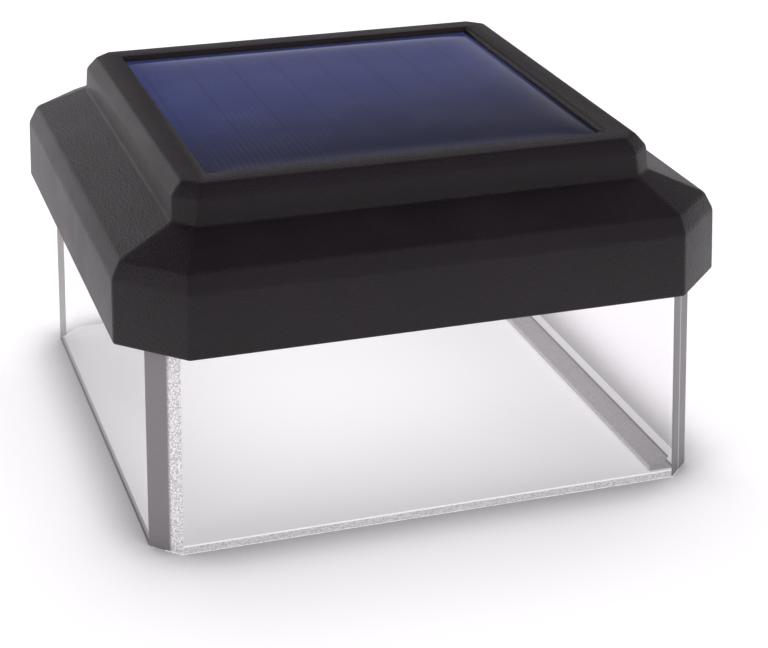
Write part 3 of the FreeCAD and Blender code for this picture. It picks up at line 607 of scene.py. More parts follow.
@dataclass(frozen=True)
class ClearSkirt(Finish):
    """Clear plastic with grey moulded corners, a pebbled rim and a frosted ledge.

    Attributes:
        half: Half the skirt's width at its rim, in metres.
        corner: Length cut off each side at a corner.
        lean: How much narrower each side gets per metre of height.
        wall: Wall thickness.
        ledge_edge: X of the ledge's inner edge.
        ledge_top: Z of the ledge's top.
        far_strip: How much further out along X than Y the far left corner starts to be grey.
        rim_width: Width of the pebbled rim.
        foot_highlight: How deep in the painted highlight line lies, and half its width.
        side_width: Width of the line under the left wall.
        pebble_scale: Scales of the pebbles and of the noise that breaks them up.
        painted_glow: Strength of the glow painted on the rim, the bright line, the ledge and, at half strength, the
            pebbled edge, standing in for light that the walls gather and carry to them.
        foot_painted_glow: Further painted glow of the bright highlight line.
        mirror: Share of the walls' mirroring that is shown.
    """

    half: float = SKIRT_HALF
    corner: float = SKIRT_CORNER
    lean: float = 1.23 / 38.0
    wall: float = 2.8 * MM
    ledge_edge: float = 43.2 * MM
    ledge_top: float = 1.0 * MM
    far_strip: float = 1.6 * MM
    rim_width: float = 2.3 * MM
    foot_highlight: tuple[float, float] = (2.5 * MM, 0.25 * MM)
    side_width: float = 0.9 * MM
    tones: SkirtTones = SkirtTones()
    clear: Colour = (0.985, 0.98, 0.985)
    pebble_scale: tuple[float, float] = (3000.0, 2000.0)
    painted_glow: float = 0.40
    foot_painted_glow: float = 0.20
    mirror: float = 0.35

    def place(self, graph: Graph) -> SkirtPlace:
        """Works out where the shaded point lies.

        Args:
            graph: The material's tree.

        Returns:
            Its place.
        """
        x, y, z = graph.axes(graph.object_point())
        out_x = graph.math("ABSOLUTE", x)
        out_y = graph.math("ABSOLUTE", y)
        half_here = graph.math("SUBTRACT", self.half, graph.math("MULTIPLY", z, self.lean))
        deep = graph.math("SUBTRACT", half_here, graph.math("MAXIMUM", out_x, out_y))
        return SkirtPlace(x, y, z, out_x, out_y, deep, graph.math("SUBTRACT", out_y, out_x))

    def facet(self, graph: Graph, at: SkirtPlace) -> Socket:
        """Finds the cut corners. Of the far left one, only a strip by the left wall is grey.

        Args:
            graph: The material's tree.
            at: The point's place.

        Returns:
            The mask.
        """
        corner_here = graph.math("SUBTRACT", 2 * self.half - self.corner,
                                 graph.math("MULTIPLY", at.z, 2 * self.lean))
        beyond = graph.math("SUBTRACT", graph.math("ADD", at.out_x, at.out_y), corner_here)
        cut = graph.ramp(beyond, -0.35 * MM, -0.1 * MM)
        far_left = graph.product(graph.math("LESS_THAN", at.x, 0.0), graph.math("GREATER_THAN", at.y, 0.0))
        shown = graph.math("GREATER_THAN", graph.math("SUBTRACT", at.out_x, at.out_y), self.far_strip)
        return graph.product(cut, graph.inverse(graph.product(far_left, graph.inverse(shown))))

    def masks(self, graph: Graph, at: SkirtPlace) -> SkirtMasks:
        """Finds all the places that aren't clear.

        Args:
            graph: The material's tree.
            at: The point's place.

        Returns:
            Their masks.
        """
        left = graph.math("LESS_THAN", at.x, 0.0)
        low = graph.math("LESS_THAN", at.z, 0.1 * MM)
        in_front = graph.inverse(graph.math("GREATER_THAN", graph.math("ADD", at.y, at.out_x), 0.0))
        low_front = graph.product(low, in_front)
        low_left = graph.product(low, left, graph.math("GREATER_THAN", at.out_x, at.out_y))
        ledge = graph.product(
            graph.math("GREATER_THAN", at.x, self.ledge_edge - 0.05 * MM),
            graph.math("LESS_THAN", at.x, self.half - self.wall + 0.02 * MM),
            graph.math("LESS_THAN", at.z, self.ledge_top + 0.02 * MM),
            graph.math("GREATER_THAN", at.y, 1.2 * self.wall - self.half),
        )
        return SkirtMasks(
            facet=self.facet(graph, at),
            pebbled=graph.product(left, graph.math("LESS_THAN", at.y, 0.0),
                                  graph.ramp(at.turned, 0.9 * MM, 2.1 * MM)),
            rim=graph.product(low_front, graph.math("LESS_THAN", at.deep, self.rim_width)),
            # foot: the painted highlight line behind the front rim.
            foot=graph.product(low_front, graph.math("COMPARE", at.deep, *self.foot_highlight)),
            side_line=graph.product(low_left, graph.math("LESS_THAN", at.deep, self.side_width)),
            ledge=ledge,
        )

    def pebbles(self, graph: Graph) -> Socket:
        """Builds the pebbled relief of the rim.

        Args:
            graph: The material's tree.

        Returns:
            Its height, from 0 to 1.
        """
        pebble_scale, break_scale = self.pebble_scale
        grains = graph.add("TexVoronoi", {"Vector": graph.object_point(), "Scale": pebble_scale})
        broken = graph.add("TexNoise", {"Vector": graph.object_point(), "Scale": break_scale, "Detail": 3.0})
        return graph.math("MULTIPLY", graph.ramp(grains.outputs["Distance"], 0.1, 0.8, 1.0, 0.0),
                          graph.ramp(broken.outputs["Fac"], 0.3, 0.6, 0.5, 1.1), clamp=True)

    def tone(self, graph: Graph, at: SkirtPlace, masks: SkirtMasks, pebble: Socket) -> Socket:
        """Colours the frosted places.

        Args:
            graph: The material's tree.
            at: The point's place.
            masks: The places.
            pebble: Height of the pebbles.

        Returns:
            The colour.
        """
        def between(factor: Value, pair: tuple[Colour, Colour]) -> Socket:
            """A colour between a dark and a light one."""
            return graph.mix(factor, rgba(pair[0]), rgba(pair[1]))

        tones = self.tones
        off_crease = graph.math("ABSOLUTE", graph.math("ADD", at.turned, -0.4 * MM))
        crease = graph.product(graph.math("GREATER_THAN", at.x, 0.0),
                               graph.ramp(off_crease, 0.15 * MM, 0.4 * MM, 1.0, 0.0))
        tone = between(crease, (tones.facet, tones.crease))
        tone = graph.mix(masks.pebbled, tone, between(pebble, tones.pebbled))
        tone = graph.mix(masks.rim, tone, between(pebble, tones.rim))
        inner_half = graph.ramp(at.deep, 0.3 * MM, 0.5 * MM)
        tone = graph.mix(masks.side_line, tone, between(inner_half, tones.side_line))
        # Painted highlight: a bright line along the inner edge of the front rim.
        tone = graph.mix(masks.foot, tone, rgba(tones.foot))
        inner_face = self.half - self.wall
        by_wall = graph.ramp(at.x, inner_face - 0.6 * MM, inner_face - 0.4 * MM)
        ledge = between(graph.math("MULTIPLY", pebble, 0.35), tones.ledge)
        return graph.mix(masks.ledge, tone, graph.mix(by_wall, ledge, rgba(tones.ledge_line)))

    def frost(self, graph: Graph, tone: Socket, masks: SkirtMasks, pebble: Socket) -> Socket:
        """Builds the surface of the frosted places, with a painted glow that stands in for light carried to them by
        the walls.

        Args:
            graph: The material's tree.
            tone: Their colour.
            masks: The places.
            pebble: Height of the pebbles.

        Returns:
            The shader socket.
        """
        bump = graph.add("Bump", {"Strength": 0.35, "Distance": 0.12 * MM, "Height": pebble})
        # Painted glow: emission on the rim, the bright line, the ledge and, at half strength, the pebbled edge.
        lit = graph.largest(masks.rim, masks.foot, masks.ledge, graph.math("MULTIPLY", masks.pebbled, 0.5))
        glow = graph.math("ADD", graph.math("MULTIPLY", lit, self.painted_glow),
                          graph.math("MULTIPLY", masks.foot, self.foot_painted_glow))
        return graph.surface({"Base Color": tone, "Roughness": 0.45, "IOR": 1.49, "Emission Color": tone,
                              "Emission Strength": glow, "Normal": bump.outputs["Normal"]})

    def walls(self, graph: Graph, at: SkirtPlace) -> Socket:
        """Builds the clear walls: they mirror a little outside, and shade what lies behind them low down.

        Args:
            graph: The material's tree.
            at: The point's place.

        Returns:
            The shader socket.
        """
        gloss = graph.add("BsdfGlossy", {"Color": rgba((1.0, 1.0, 1.0)), "Roughness": 0.03})
        fresnel = graph.add("Fresnel", {"IOR": 1.35}).outputs["Fac"]
        shadow = graph.add("LightPath").outputs["Is Shadow Ray"]
        passed = graph.ramp(at.z, 0.0, 12.0 * MM, 0.15, 0.75)
        clear = graph.add("BsdfTransparent", {"Color": graph.mix(shadow, rgba(self.clear), passed)})
        inside = graph.add("NewGeometry").outputs["Backfacing"]
        shine = graph.product(fresnel, self.mirror, graph.inverse(graph.largest(shadow, inside)))
        return graph.add("MixShader", {0: shine, 1: clear.outputs[0], 2: gloss.outputs[0]}).outputs[0]

    def wire(self, graph: Graph) -> Socket:
        """Builds the surface.

        Args:
            graph: The material's tree.

        Returns:
            The shader socket.
        """
        at = self.place(graph)
        masks = self.masks(graph, at)
        pebble = self.pebbles(graph)
        frosted = graph.largest(masks.facet, masks.rim, masks.side_line, masks.foot, masks.ledge)
        frost = self.frost(graph, self.tone(graph, at, masks, pebble), masks, pebble)
        return graph.add("MixShader", {0: frosted, 1: self.walls(graph, at), 2: frost}).outputs[0]


@dataclass(frozen=True)
class Floor(Finish):
    """The plain white light table that serves as the floor, with the soft shade where the light stands.

    Attributes:
        glow: Strength of its own light.
        reach: How near a thing has to be to shade it.
        least_open: Open share of the sky where the shade is deepest.
        darkest: What the deepest shade leaves of the floor's tone.
        spared: How much more it leaves inside the skirt.
        inside: Half the skirt's width at its foot.
        corner: Length cut off each of its sides at a corner.
    """

    colour: Colour = (0.86, 0.86, 0.865)
    glow: float = 0.335
    glow_colour: Colour = (1.0, 0.985, 1.0)
    reach: float = 13.0 * MM
    least_open: float = 0.45
    darkest: float = 0.42
    spared: float = 0.56
    inside: float = SKIRT_HALF
    corner: float = SKIRT_CORNER

    def covered(self, graph: Graph) -> Socket:
        """Finds the floor under the light.

        Args:
            graph: The material's tree.

        Returns:
            The mask.
        """
        x, y, _ = graph.axes(graph.object_point())
        out_x = graph.math("ABSOLUTE", x)
        out_y = graph.math("ABSOLUTE", y)
        in_square = graph.math("LESS_THAN", graph.math("MAXIMUM", out_x, out_y), self.inside)
        in_corners = graph.math("LESS_THAN", graph.math("ADD", out_x, out_y), 2 * self.inside - self.corner)
        return graph.product(in_square, in_corners)

    def wire(self, graph: Graph) -> Socket:
        """Builds the surface.

        Args:
            graph: The material's tree.

        Returns:
            The shader socket.
        """
        open_sky = graph.add("AmbientOcclusion", {"Distance": self.reach}, samples=8).outputs["AO"]
        darkest = graph.math("ADD", self.darkest, graph.math("MULTIPLY", self.covered(graph), self.spared))
        lit = graph.ramp(open_sky, self.least_open, 1.0, darkest, 1.0)
        colour = graph.mix(lit, rgba((0.0, 0.0, 0.0)), rgba(self.colour))
        return graph.surface({"Base Color": colour, "Roughness": 0.75, "Specular IOR Level": 0.1,
                              "Emission Color": rgba(self.glow_colour),
                              "Emission Strength": graph.math("MULTIPLY", lit, self.glow)})


class Finishes(Enum):
    """Every finish of the light."""

    CAP = Moulded("cap_plastic", (0.0076, 0.0038, 0.0064), 0.42, 0.38 * MM, 0.70, 0.30)
    COVER = Moulded("cover_plastic", (0.020, 0.020, 0.021), 0.40, 0.45 * MM, 0.10)
    KNOB = Moulded("knob_plastic", (0.015, 0.015, 0.015), 0.35, 0.25 * MM, 0.08)
    SEAL = Moulded("seal_rubber", (0.13, 0.13, 0.14), 0.62, 0.20 * MM, 0.12, 0.3)
    TAPE = Moulded("foam_tape", (0.02, 0.02, 0.02), 0.85, 0.15 * MM, 0.45, 0.2)
    CHIP = Moulded("chip_body", (0.018, 0.018, 0.02), 0.50, 0.18 * MM, 0.15)
    FERRITE = Moulded("ferrite_core", (0.06, 0.055, 0.05), 0.55, 0.25 * MM, 0.25)
    LAMP = Moulded("lamp_package", (0.80, 0.78, 0.60), 0.22, 0.40 * MM, 0.03)
    SLEEVE = Moulded("shrink_sleeve", (0.03, 0.22, 0.09), 0.22, 1.20 * MM, 0.05)
    LEAD_RED = Moulded("lead_red", (0.45, 0.015, 0.012), 0.32, 0.30 * MM, 0.05)
    LEAD_BLACK = Moulded("lead_black", (0.014, 0.014, 0.015), 0.32, 0.30 * MM, 0.05)
    STEEL = Metal("screw_steel", (0.52, 0.52, 0.53), 0.30, (12.0, 12.0, 1.0))
    CONTACT = Metal("contact_steel", (0.66, 0.64, 0.60), 0.26)
    CELL_CAN = Metal("cell_can", (0.60, 0.60, 0.60), 0.24, (1.0, 12.0, 12.0))
    CAN = Metal("capacitor_can", (0.74, 0.74, 0.75), 0.22, (12.0, 12.0, 1.0))
    SWITCH_CAN = Metal("switch_can", (0.58, 0.58, 0.58), 0.30)
    MAIN_BOARD = Board("main_board_coat", (0.008, 0.10, 0.035), (0.03, 0.19, 0.07))
    PANEL_BOARD = Board("panel_board_coat", (0.012, 0.02, 0.08), (0.03, 0.05, 0.14))
    STRIP_BOARD = Board("strip_board_coat", (0.80, 0.80, 0.78), (0.62, 0.62, 0.58), 1.0 * MM)
    PANEL = SolarFace("solar_face")
    SKIRT = ClearSkirt("clear_skirt")
    FLOOR = Floor("studio_floor")

    @property
    def material(self) -> bpy.types.Material:
        """The material of this finish."""
        return self.value.material()


SIDES = ("front", "right", "back", "left")
FINISH_NODES: dict[Finishes, tuple[str, ...]] = {
    Finishes.CAP: ("cap_shell",),
    Finishes.COVER: ("base_cover", "battery_door"),
    Finishes.KNOB: ("switch_slider",),
    Finishes.SEAL: ("skirt_seal", "cover_gasket", "door_seal"),
    Finishes.TAPE: ("panel_tape",),
    Finishes.CHIP: ("driver_chip", "resistors"),
    Finishes.FERRITE: ("storage_inductor",),
    Finishes.LAMP: tuple(f"lamps_{side}" for side in SIDES),
    Finishes.SLEEVE: ("battery_sleeve",),
    Finishes.LEAD_RED: ("panel_lead_red", "battery_lead_red", "strip_lead_red"),
    Finishes.LEAD_BLACK: ("panel_lead_black", "battery_lead_black", "strip_lead_black",
                          *(f"strip_jumper_{side}" for side in SIDES[1:])),
    Finishes.STEEL: ("cover_screws", "board_screws", "door_screws"),
    Finishes.CONTACT: ("contact_plus", "contact_minus"),
    Finishes.CELL_CAN: ("battery_cell",),
    Finishes.CAN: ("filter_capacitor",),
    Finishes.SWITCH_CAN: ("switch_case",),
    Finishes.MAIN_BOARD: ("main_board",),
    Finishes.PANEL_BOARD: ("panel_board",),
    Finishes.STRIP_BOARD: tuple(f"light_strip_{side}" for side in SIDES),
    Finishes.PANEL: ("solar_cells", "panel_resin"),
    Finishes.SKIRT: ("lens_skirt",),
}
NODE_FINISHES = {node: finish for finish, nodes in FINISH_NODES.items() for node in nodes}


# --------------------------------------------------
# Modelling

WELD = 0.002 * MM
FLAT_ANGLE = math.radians(0.8)


def deselect() -> None:
    """Leaves no object selected."""
    if bpy.context.object and bpy.context.object.mode != "OBJECT":
        bpy.ops.object.mode_set(mode="OBJECT")
    bpy.ops.object.select_all(action="DESELECT")


def activate(piece: bpy.types.Object) -> None:
    """Makes one object the only selected and the active one."""
    deselect()
    piece.select_set(True)
    bpy.context.view_layer.objects.active = piece


def paint(piece: bpy.types.Object, finish: Finishes) -> None:
    """Gives a piece one finish."""
    piece.data.materials.clear()
    piece.data.materials.append(finish.material)


def merged_copy(source: bpy.types.Object, name: str) -> bpy.types.Object:
    """A copy of a CAD node's mesh with its loose triangles joined into flat faces.

    Args:
        source: The CAD node.
        name: Name of the copy.

    Returns:
        The copy, at the origin.
    """
    piece = bpy.data.objects.new(name, source.data.copy())
    bpy.context.scene.collection.objects.link(piece)
    activate(piece)
    bpy.ops.object.mode_set(mode="EDIT")
    bpy.ops.mesh.select_all(action="SELECT")
    bpy.ops.mesh.remove_doubles(threshold=WELD)
    bpy.ops.mesh.dissolve_limited(angle_limit=FLAT_ANGLE)
    bpy.ops.mesh.normals_make_consistent(inside=False)
    bpy.ops.mesh.select_all(action="DESELECT")
    bpy.ops.object.mode_set(mode="OBJECT")
    return piece


def round_edges(piece: bpy.types.Object, width: float, segments: int,
                wanted: Callable[[Vector, Vector], bool], least_turn: float = 14.0) -> None:
    """Rounds the sharp edges whose two ends are wanted, then shades the piece smooth.

    Args:
        piece: The object.
        width: Width of the rounding.
        segments: Steps across it.
        wanted: Says for an edge's two ends whether it is rounded.
        least_turn: Smallest turn between the faces, in degrees.
    """
    mesh = piece.data
    faces_at: dict[tuple[int, int], list[Vector]] = {}
    for face in mesh.polygons:
        for key in face.edge_keys:
            faces_at.setdefault(key, []).append(face.normal)
    weights = mesh.attributes.new("bevel_weight_edge", "FLOAT", "EDGE")
    limit = math.cos(math.radians(least_turn))
    for edge in mesh.edges:
        normals = faces_at.get(edge.key, [])
        sharp = len(normals) == 2 and normals[0].dot(normals[1]) < limit
        ends = [mesh.vertices[i].co for i in edge.vertices]
        weights.data[edge.index].value = 1.0 if sharp and wanted(*ends) else 0.0
    activate(piece)
    bevel = piece.modifiers.new("rounding", "BEVEL")
    bevel.width = width
    bevel.segments = segments
    bevel.limit_method = "WEIGHT"
    bevel.use_clamp_overlap = False
    bevel.harden_normals = False
    bpy.ops.object.modifier_apply(modifier=bevel.name)
    bpy.ops.object.shade_smooth_by_angle(angle=math.radians(32))


def cut_away(piece: bpy.types.Object, cutters: Sequence[bpy.types.Object]) -> None:
    """Cuts the cutters out of a piece and removes them.

    Args:
        piece: The object that is cut.
        cutters: The objects that cut it.
    """
    for cutter in cutters:
        activate(piece)
        boolean = piece.modifiers.new("cut", "BOOLEAN")
        boolean.operation = "DIFFERENCE"
        boolean.solver = "EXACT"
        boolean.object = cutter
        bpy.ops.object.modifier_apply(modifier=boolean.name)
        bpy.data.objects.remove(cutter, do_unlink=True)


def box_piece(name: str, centre: Point, size: Point, turn: float = 0.0) -> bpy.types.Object:
    """A box shaped in edit mode, so that the object itself stays at the origin.

    Args:
        name: Its name.
        centre: Its middle.
        size: Its size along each axis.
        turn: Its turn about the upright through its middle, in radians.

    Returns:
        The box.
    """
    deselect()
    bpy.ops.mesh.primitive_cube_add(size=1.0, enter_editmode=True, location=(0, 0, 0))
    bpy.ops.mesh.select_all(action="SELECT")
    bpy.ops.transform.resize(value=size)
    bpy.ops.transform.rotate(value=turn, orient_axis="Z", center_override=(0, 0, 0))
    bpy.ops.transform.translate(value=centre)
    bpy.ops.object.mode_set(mode="OBJECT")
    piece = bpy.context.object
    piece.name = name
    return piece


# --------------------------------------------------
# Pieces that take the place of CAD nodes


@dataclass(frozen=True)
class OuterLimit:
    """How far out a point has to lie to be on the cap's outer skin.

    Attributes:
        side: Least distance from the middle, along X or along Y.
        corner: Least sum of the two distances, where a corner is cut.
    """

    side: float
    corner: float

    def passed_by(self, point: Vector) -> bool:
        """True for a point that lies out far enough."""
        return max(abs(point.x), abs(point.y)) > self.side or abs(point.x) + abs(point.y) > self.corner


@dataclass
class Cap:
    """The black cap, with its edges softly rounded as moulded.

    Attributes:
        recess_depth: Depth of the panel's recess below the deck's top.
        opening_half: Distance from the middle beyond which the recess's upper edges lie.
        deck_from: Height that parts the roof from the deck.
        at_foot: Where the skin lies at the fascia's foot.
        up_to_deck: Where it lies from there up to the deck.
        on_deck: Where it lies on the deck.
    """

    frame_nodes: Nodes
    radius: float = 0.50 * MM
    segments: int = 3
    recess_depth: float = 3.4 * MM
    opening_half: float = 35.0 * MM
    deck_from: float = 53.0 * MM
    at_foot: OuterLimit = OuterLimit(54.5 * MM, 98.5 * MM)
    up_to_deck: OuterLimit = OuterLimit(52.4 * MM, 95.5 * MM)
    on_deck: OuterLimit = OuterLimit(42.6 * MM, 81.5 * MM)

    def build(self) -> bpy.types.Object:
        """Builds the cap.

        Returns:
            The cap's object.
        """
        piece = merged_copy(self.frame_nodes["cap_shell"], "cap_rounded")
        low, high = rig.box("cap_shell")
        above_recess = high[2] - self.recess_depth + 0.5 * MM

        def outside(a: Vector, b: Vector) -> bool:
            """True for an edge on the cap's outer skin or round the panel's opening."""
            wide = all(max(abs(v.x), abs(v.y)) > self.opening_half for v in (a, b))
            over = all(v.z > above_recess for v in (a, b)) and wide
            skin = all(self.on_skin(v, low[2]) for v in (a, b))
            return over or skin

        round_edges(piece, self.radius, self.segments, outside)
        paint(piece, Finishes.CAP)
        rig.replaces(piece, "cap_shell")
        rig.ride(piece, "housing")
        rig.slot(piece, "cap_black")
        return piece

    def on_skin(self, point: Vector, foot: float) -> bool:
        """Tells whether a point lies on the outside, between the fascia's foot and the deck.

        Args:
            point: The point.
            foot: Height of the fascia's foot.

        Returns:
            True for a point on the skin.
        """
        if point.z < foot + 0.05 * MM:
            return self.at_foot.passed_by(point)
        if point.z < self.deck_from:
            return self.up_to_deck.passed_by(point)
        return self.on_deck.passed_by(point)


@dataclass
class Skirt:
    """The clear skirt with its lightly broken edges.

    Attributes:
        least_rise: An edge that rises by more than this is an upright one.
        outer_sum: Least sum of an outer edge's distances from the middle along X and Y.
    """

    frame_nodes: Nodes
    radius: float = 0.3 * MM
    segments: int = 2
    least_rise: float = 20 * MM
    outer_sum: float = 94.0 * MM

    def build(self) -> bpy.types.Object:
        """Builds the skirt.

        Returns:
            The skirt's object.
        """
        piece = merged_copy(self.frame_nodes["lens_skirt"], "skirt_polished")

        def outer(a: Vector, b: Vector) -> bool:
            """True for the outer upright edges."""
            far_out = all(abs(v.x) + abs(v.y) > self.outer_sum for v in (a, b))
            return abs(a.z - b.z) > self.least_rise and far_out

        round_edges(piece, self.radius, self.segments, outer)
        paint(piece, Finishes.SKIRT)
        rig.replaces(piece, "lens_skirt")
        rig.ride(piece, "housing")
        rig.slot(piece, "clear_plastic")
        return piece


@dataclass
class Panel:
    """The domed glossy face of the solar panel.

    Attributes:
        play: How much smaller it is than the CAD face on each side.
        edge_drop: How much lower its edge lies than its middle.
        slow_fall: Share of that drop that falls evenly from the middle to the edge.
        edge_power: How close to the edge the rest falls.
    """

    steps: int = 96
    play: float = 0.02 * MM
    edge_drop: float = 0.70 * MM
    slow_fall: float = 0.14
    edge_power: int = 11

    def build(self) -> bpy.types.Object:
        """Builds the panel's face as one block, and domes its top by a formula, vertex by vertex.

        Returns:
            The face's object.
        """
        low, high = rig.box("panel_resin")
        half = high[0] - self.play
        deselect()
        bpy.ops.mesh.primitive_grid_add(x_subdivisions=self.steps, y_subdivisions=self.steps, size=2 * half,
                                        enter_editmode=True, location=(0, 0, 0))
        bpy.ops.mesh.select_all(action="SELECT")
        bpy.ops.mesh.extrude_region_move(TRANSFORM_OT_translate={"value": (0, 0, -0.5 * MM)})
        bpy.ops.object.mode_set(mode="OBJECT")
        piece = bpy.context.object
        piece.name = "panel_face"
        for vertex in piece.data.vertices:
            if vertex.co.z < -0.1 * MM:
                vertex.co.z = low[2]
                continue
            u, v = abs(vertex.co.x) / half, abs(vertex.co.y) / half
            vertex.co.z = high[2] - self.edge_drop * (1 - self.pillow(u) * self.pillow(v))
        activate(piece)
        bpy.ops.object.mode_set(mode="EDIT")
        bpy.ops.mesh.select_all(action="SELECT")
        bpy.ops.mesh.normals_make_consistent(inside=False)
        bpy.ops.object.mode_set(mode="OBJECT")
        bpy.ops.object.shade_smooth_by_angle(angle=math.radians(50))
        paint(piece, Finishes.PANEL)
        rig.replaces(piece, "panel_resin")
        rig.ride(piece, "housing")
        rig.slot(piece, "resin_clear")
        return piece

    def pillow(self, along: float) -> float:
        """Height of the pillow at a share of the way from its middle to its edge."""
        return 1.0 - self.slow_fall * along ** 2 - (1.0 - self.slow_fall) * along ** self.edge_power


@dataclass
class Screws:
    """Screws whose heads get their cross recess.

    Attributes:
        arm: Length of the recess from arm to arm.
        head_half: How far a head's middle lies inside the node's box.
        in_row: Whether they stand in one row instead of at the corners of a square.
        arm_share: Width of an arm as a share of its length.
        cutter: Height of the box that cuts an arm.
        first_turn: Turn of the first screw's recess, in degrees.
        next_turn: How much further each next one is turned.
    """

    frame_nodes: Nodes
    node: str
    body: str
    arm: float
    head_half: float
    in_row: bool = False
    arm_share: float = 0.24
    cutter: float = 1.5 * MM
    first_turn: float = 20.0
    next_turn: float = 37.0

    def places(self) -> list[Point]:
        """Works out where the recesses are from the node's box.

        Returns:
            The middle of each head's recess.
        """
        low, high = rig.box(self.node)
        reach = (high[0] - low[0]) / 2 - self.head_half
        rows = [(low[1] + high[1]) / 2] if self.in_row else [-reach, reach]
        return [(side * reach, row, low[2] + 0.1 * MM) for side in (-1, 1) for row in rows]

    def build(self) -> bpy.types.Object:
        """Builds the screws.

        Returns:
            One object with all the node's screws.
        """
        piece = merged_copy(self.frame_nodes[self.node], self.node + "_crossed")
        cutters = []
        size = (self.arm, self.arm * self.arm_share, self.cutter)
        for number, place in enumerate(self.places()):
            turn = self.first_turn + self.next_turn * number
            for crossed in (0.0, 90.0):
                cutters.append(box_piece("recess", place, size, math.radians(turn + crossed)))
        cut_away(piece, cutters)
        activate(piece)
        bpy.ops.object.shade_smooth_by_angle(angle=math.radians(30))
        paint(piece, Finishes.STEEL)
        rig.replaces(piece, self.node)
        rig.ride(piece, self.body)
        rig.slot(piece, "screw_steel")
        return piece


# --------------------------------------------------
# Studio


@dataclass(frozen=True)
class Softbox:
    """One area light.

    Attributes:
        name: Its name.
        place: Where it stands, in metres.
        aim: What it points at.
        size: Width and height.
        power: Power in watts.
        in_gloss: Whether glossy surfaces show it.
    """

    name: str
    place: Point
    aim: Point
    size: tuple[float, float]
    power: float
    in_gloss: bool = True

    def build(self, tint: Colour) -> None:
        """Adds the light.

        Args:
            tint: Its colour.
        """
        lamp = bpy.data.lights.new(self.name, "AREA")
        lamp.color = tint
        lamp.shape = "RECTANGLE"
        lamp.size, lamp.size_y = self.size
        lamp.energy = self.power
        holder = bpy.data.objects.new(self.name, lamp)
        holder.location = self.place
        aim = Vector(self.aim) - Vector(self.place)
        holder.rotation_euler = aim.to_track_quat("-Z", "Y").to_euler()
        holder.visible_glossy = self.in_gloss
        bpy.context.scene.collection.objects.link(holder)


@dataclass(frozen=True)
class Studio:
    """The floor, the bright surround with its dark ceiling, and the lights.

    Attributes:
        floor_drop: How far the floor lies below the skirt's foot, so that the two faces don't meet.
        surround: Strength of the surround at each height of a direction, from 0, level, to 1, straight up.
    """

    floor_size: float = 8.0
    floor_drop: float = 0.05 * MM
    tint: Colour = (1.0, 0.972, 1.0)
    surround: tuple[tuple[float, float], ...] = (
        (0.0, 1.0), (0.10, 0.85), (0.21, 0.27), (0.33, 0.12),
        (0.41, 0.13), (0.52, 0.40), (0.80, 0.20), (1.0, 0.12),
    )
    lights: tuple[Softbox, ...] = (
        Softbox("top_light", (0.17, 0.42, 1.3), (0, 0, 0), (1.3, 1.2), 12.7, False),
        Softbox("left_card", (-0.55, 1.10, 0.42), (0, 0, 0.05), (0.7, 0.5), 1.3, True),
        Softbox("front_card", (0.30, -0.86, 0.80), (0, 0, 0.05), (0.9, 0.7), 2.2, True),
        Softbox("side_card", (-1.05, -0.32, 0.55), (0, 0, 0.05), (0.5, 0.5), 2.2, True),
        Softbox("inner_fill", (0.0, 0.008, 0.0340), (0, 0.008, 0), (0.086, 0.080), 0.020, False),
    )

    def build_floor(self) -> None:
        """Adds the floor."""
        deselect()
        bpy.ops.mesh.primitive_plane_add(size=self.floor_size, enter_editmode=True, location=(0, 0, 0))
        bpy.ops.mesh.select_all(action="SELECT")
        bpy.ops.transform.translate(value=(0, 0, -self.floor_drop))
        bpy.ops.object.mode_set(mode="OBJECT")
        floor = bpy.context.object
        floor.name = "studio_floor"
        paint(floor, Finishes.FLOOR)
        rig.stage(floor)

    def build_surround(self) -> None:
        """Adds the world that lights the scene from all round."""
        world = bpy.data.worlds.new("surround")
        bpy.context.scene.world = world
        world.use_nodes = True
        world.node_tree.nodes.clear()
        graph = Graph(world.node_tree)
        direction = graph.add("TexCoord").outputs["Generated"]
        height = graph.axes(direction)[2]
        ramp = graph.add("ValToRGB", {"Fac": height})
        stops = ramp.color_ramp.elements
        while len(stops) < len(self.surround):
            stops.new(0.5)
        for stop, (level, strength) in zip(stops, self.surround):
            stop.position = level
            stop.color = (strength, strength, strength, 1.0)
        background = graph.add("Background", {"Color": rgba(self.tint), "Strength": ramp.outputs["Color"]})
        graph.feed(graph.add("OutputWorld").inputs["Surface"], background.outputs[0])

    def build(self) -> None:
        """Adds floor, surround and lights."""
        self.build_floor()
        self.build_surround()
        for light in self.lights:
            light.build(self.tint)
            LOG.info("lit %s", light.name)


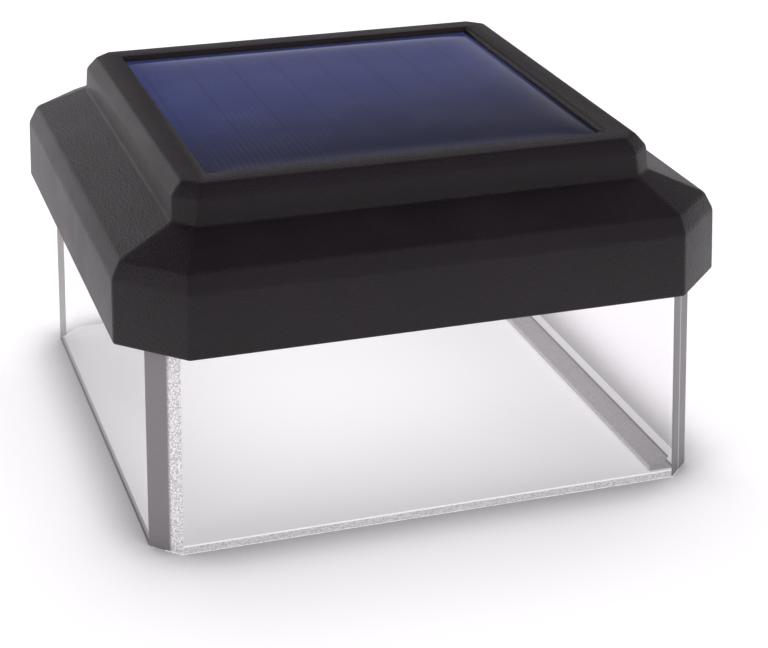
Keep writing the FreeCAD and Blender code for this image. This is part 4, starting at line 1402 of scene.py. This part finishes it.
@dataclass(frozen=True)
class PhotoCamera:
    """The camera of the picture, with its lens in millimetres and its turns in degrees."""

    lens: float = 93.45
    sensor: float = 36.0
    azimuth: float = -17.948
    elevation: float = 23.808
    roll: float = 0.028
    place: Point = (-0.105067, -0.345076, 0.174847)

    def build(self) -> bpy.types.Object:
        """Adds the camera and makes it the scene's.

        Returns:
            The camera object.
        """
        data = bpy.data.cameras.new("photo_camera")
        data.lens = self.lens
        data.sensor_width = self.sensor
        data.clip_start = 0.01
        data.clip_end = 20.0
        camera = bpy.data.objects.new("photo_camera", data)
        camera.location = self.place
        camera.rotation_euler = (math.radians(90 - self.elevation), 0.0, math.radians(self.azimuth))
        camera.rotation_euler.rotate_axis("Z", math.radians(self.roll))
        bpy.context.scene.collection.objects.link(camera)
        bpy.context.scene.camera = camera
        return camera


# --------------------------------------------------
# Assembly


def record_size(name: str) -> None:
    """Args:
        name: What the box is of. The first one, frame, starts the file anew.
    """
    low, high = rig.bounds()
    sizes = {}
    if name != "frame":
        with open(SIZE_FILE) as kept:
            sizes = json.load(kept)
    sizes[name] = {"low": list(low), "high": list(high)}
    with open(SIZE_FILE, "w") as out:
        json.dump(sizes, out, indent=1)
    LOG.info("%s box %s to %s", name, low, high)


def main() -> None:
    """Builds the scene and reports each piece."""
    logging.basicConfig(level=logging.INFO)
    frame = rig.load()
    record_size("frame")
    nodes = frame["nodes"]
    for name, node in nodes.items():
        paint(node, NODE_FINISHES[name])
        LOG.info("painted %s with %s", name, NODE_FINISHES[name].value.name)
    screws = (Screws(nodes, "door_screws", "door", 3.0 * MM, 2.6 * MM, in_row=True),
              Screws(nodes, "cover_screws", "housing", 3.2 * MM, 2.8 * MM))
    for part in (Cap(nodes), Skirt(nodes), Panel(), *screws):
        piece = part.build()
        LOG.info("built %s with %d faces", piece.name, len(piece.data.polygons))
    Studio().build()
    camera = PhotoCamera().build()
    LOG.info("set %s", camera.name)
    bpy.context.scene.view_settings.view_transform = "Standard"
    record_size("dressed")


if __name__ == "__main__":
    main()
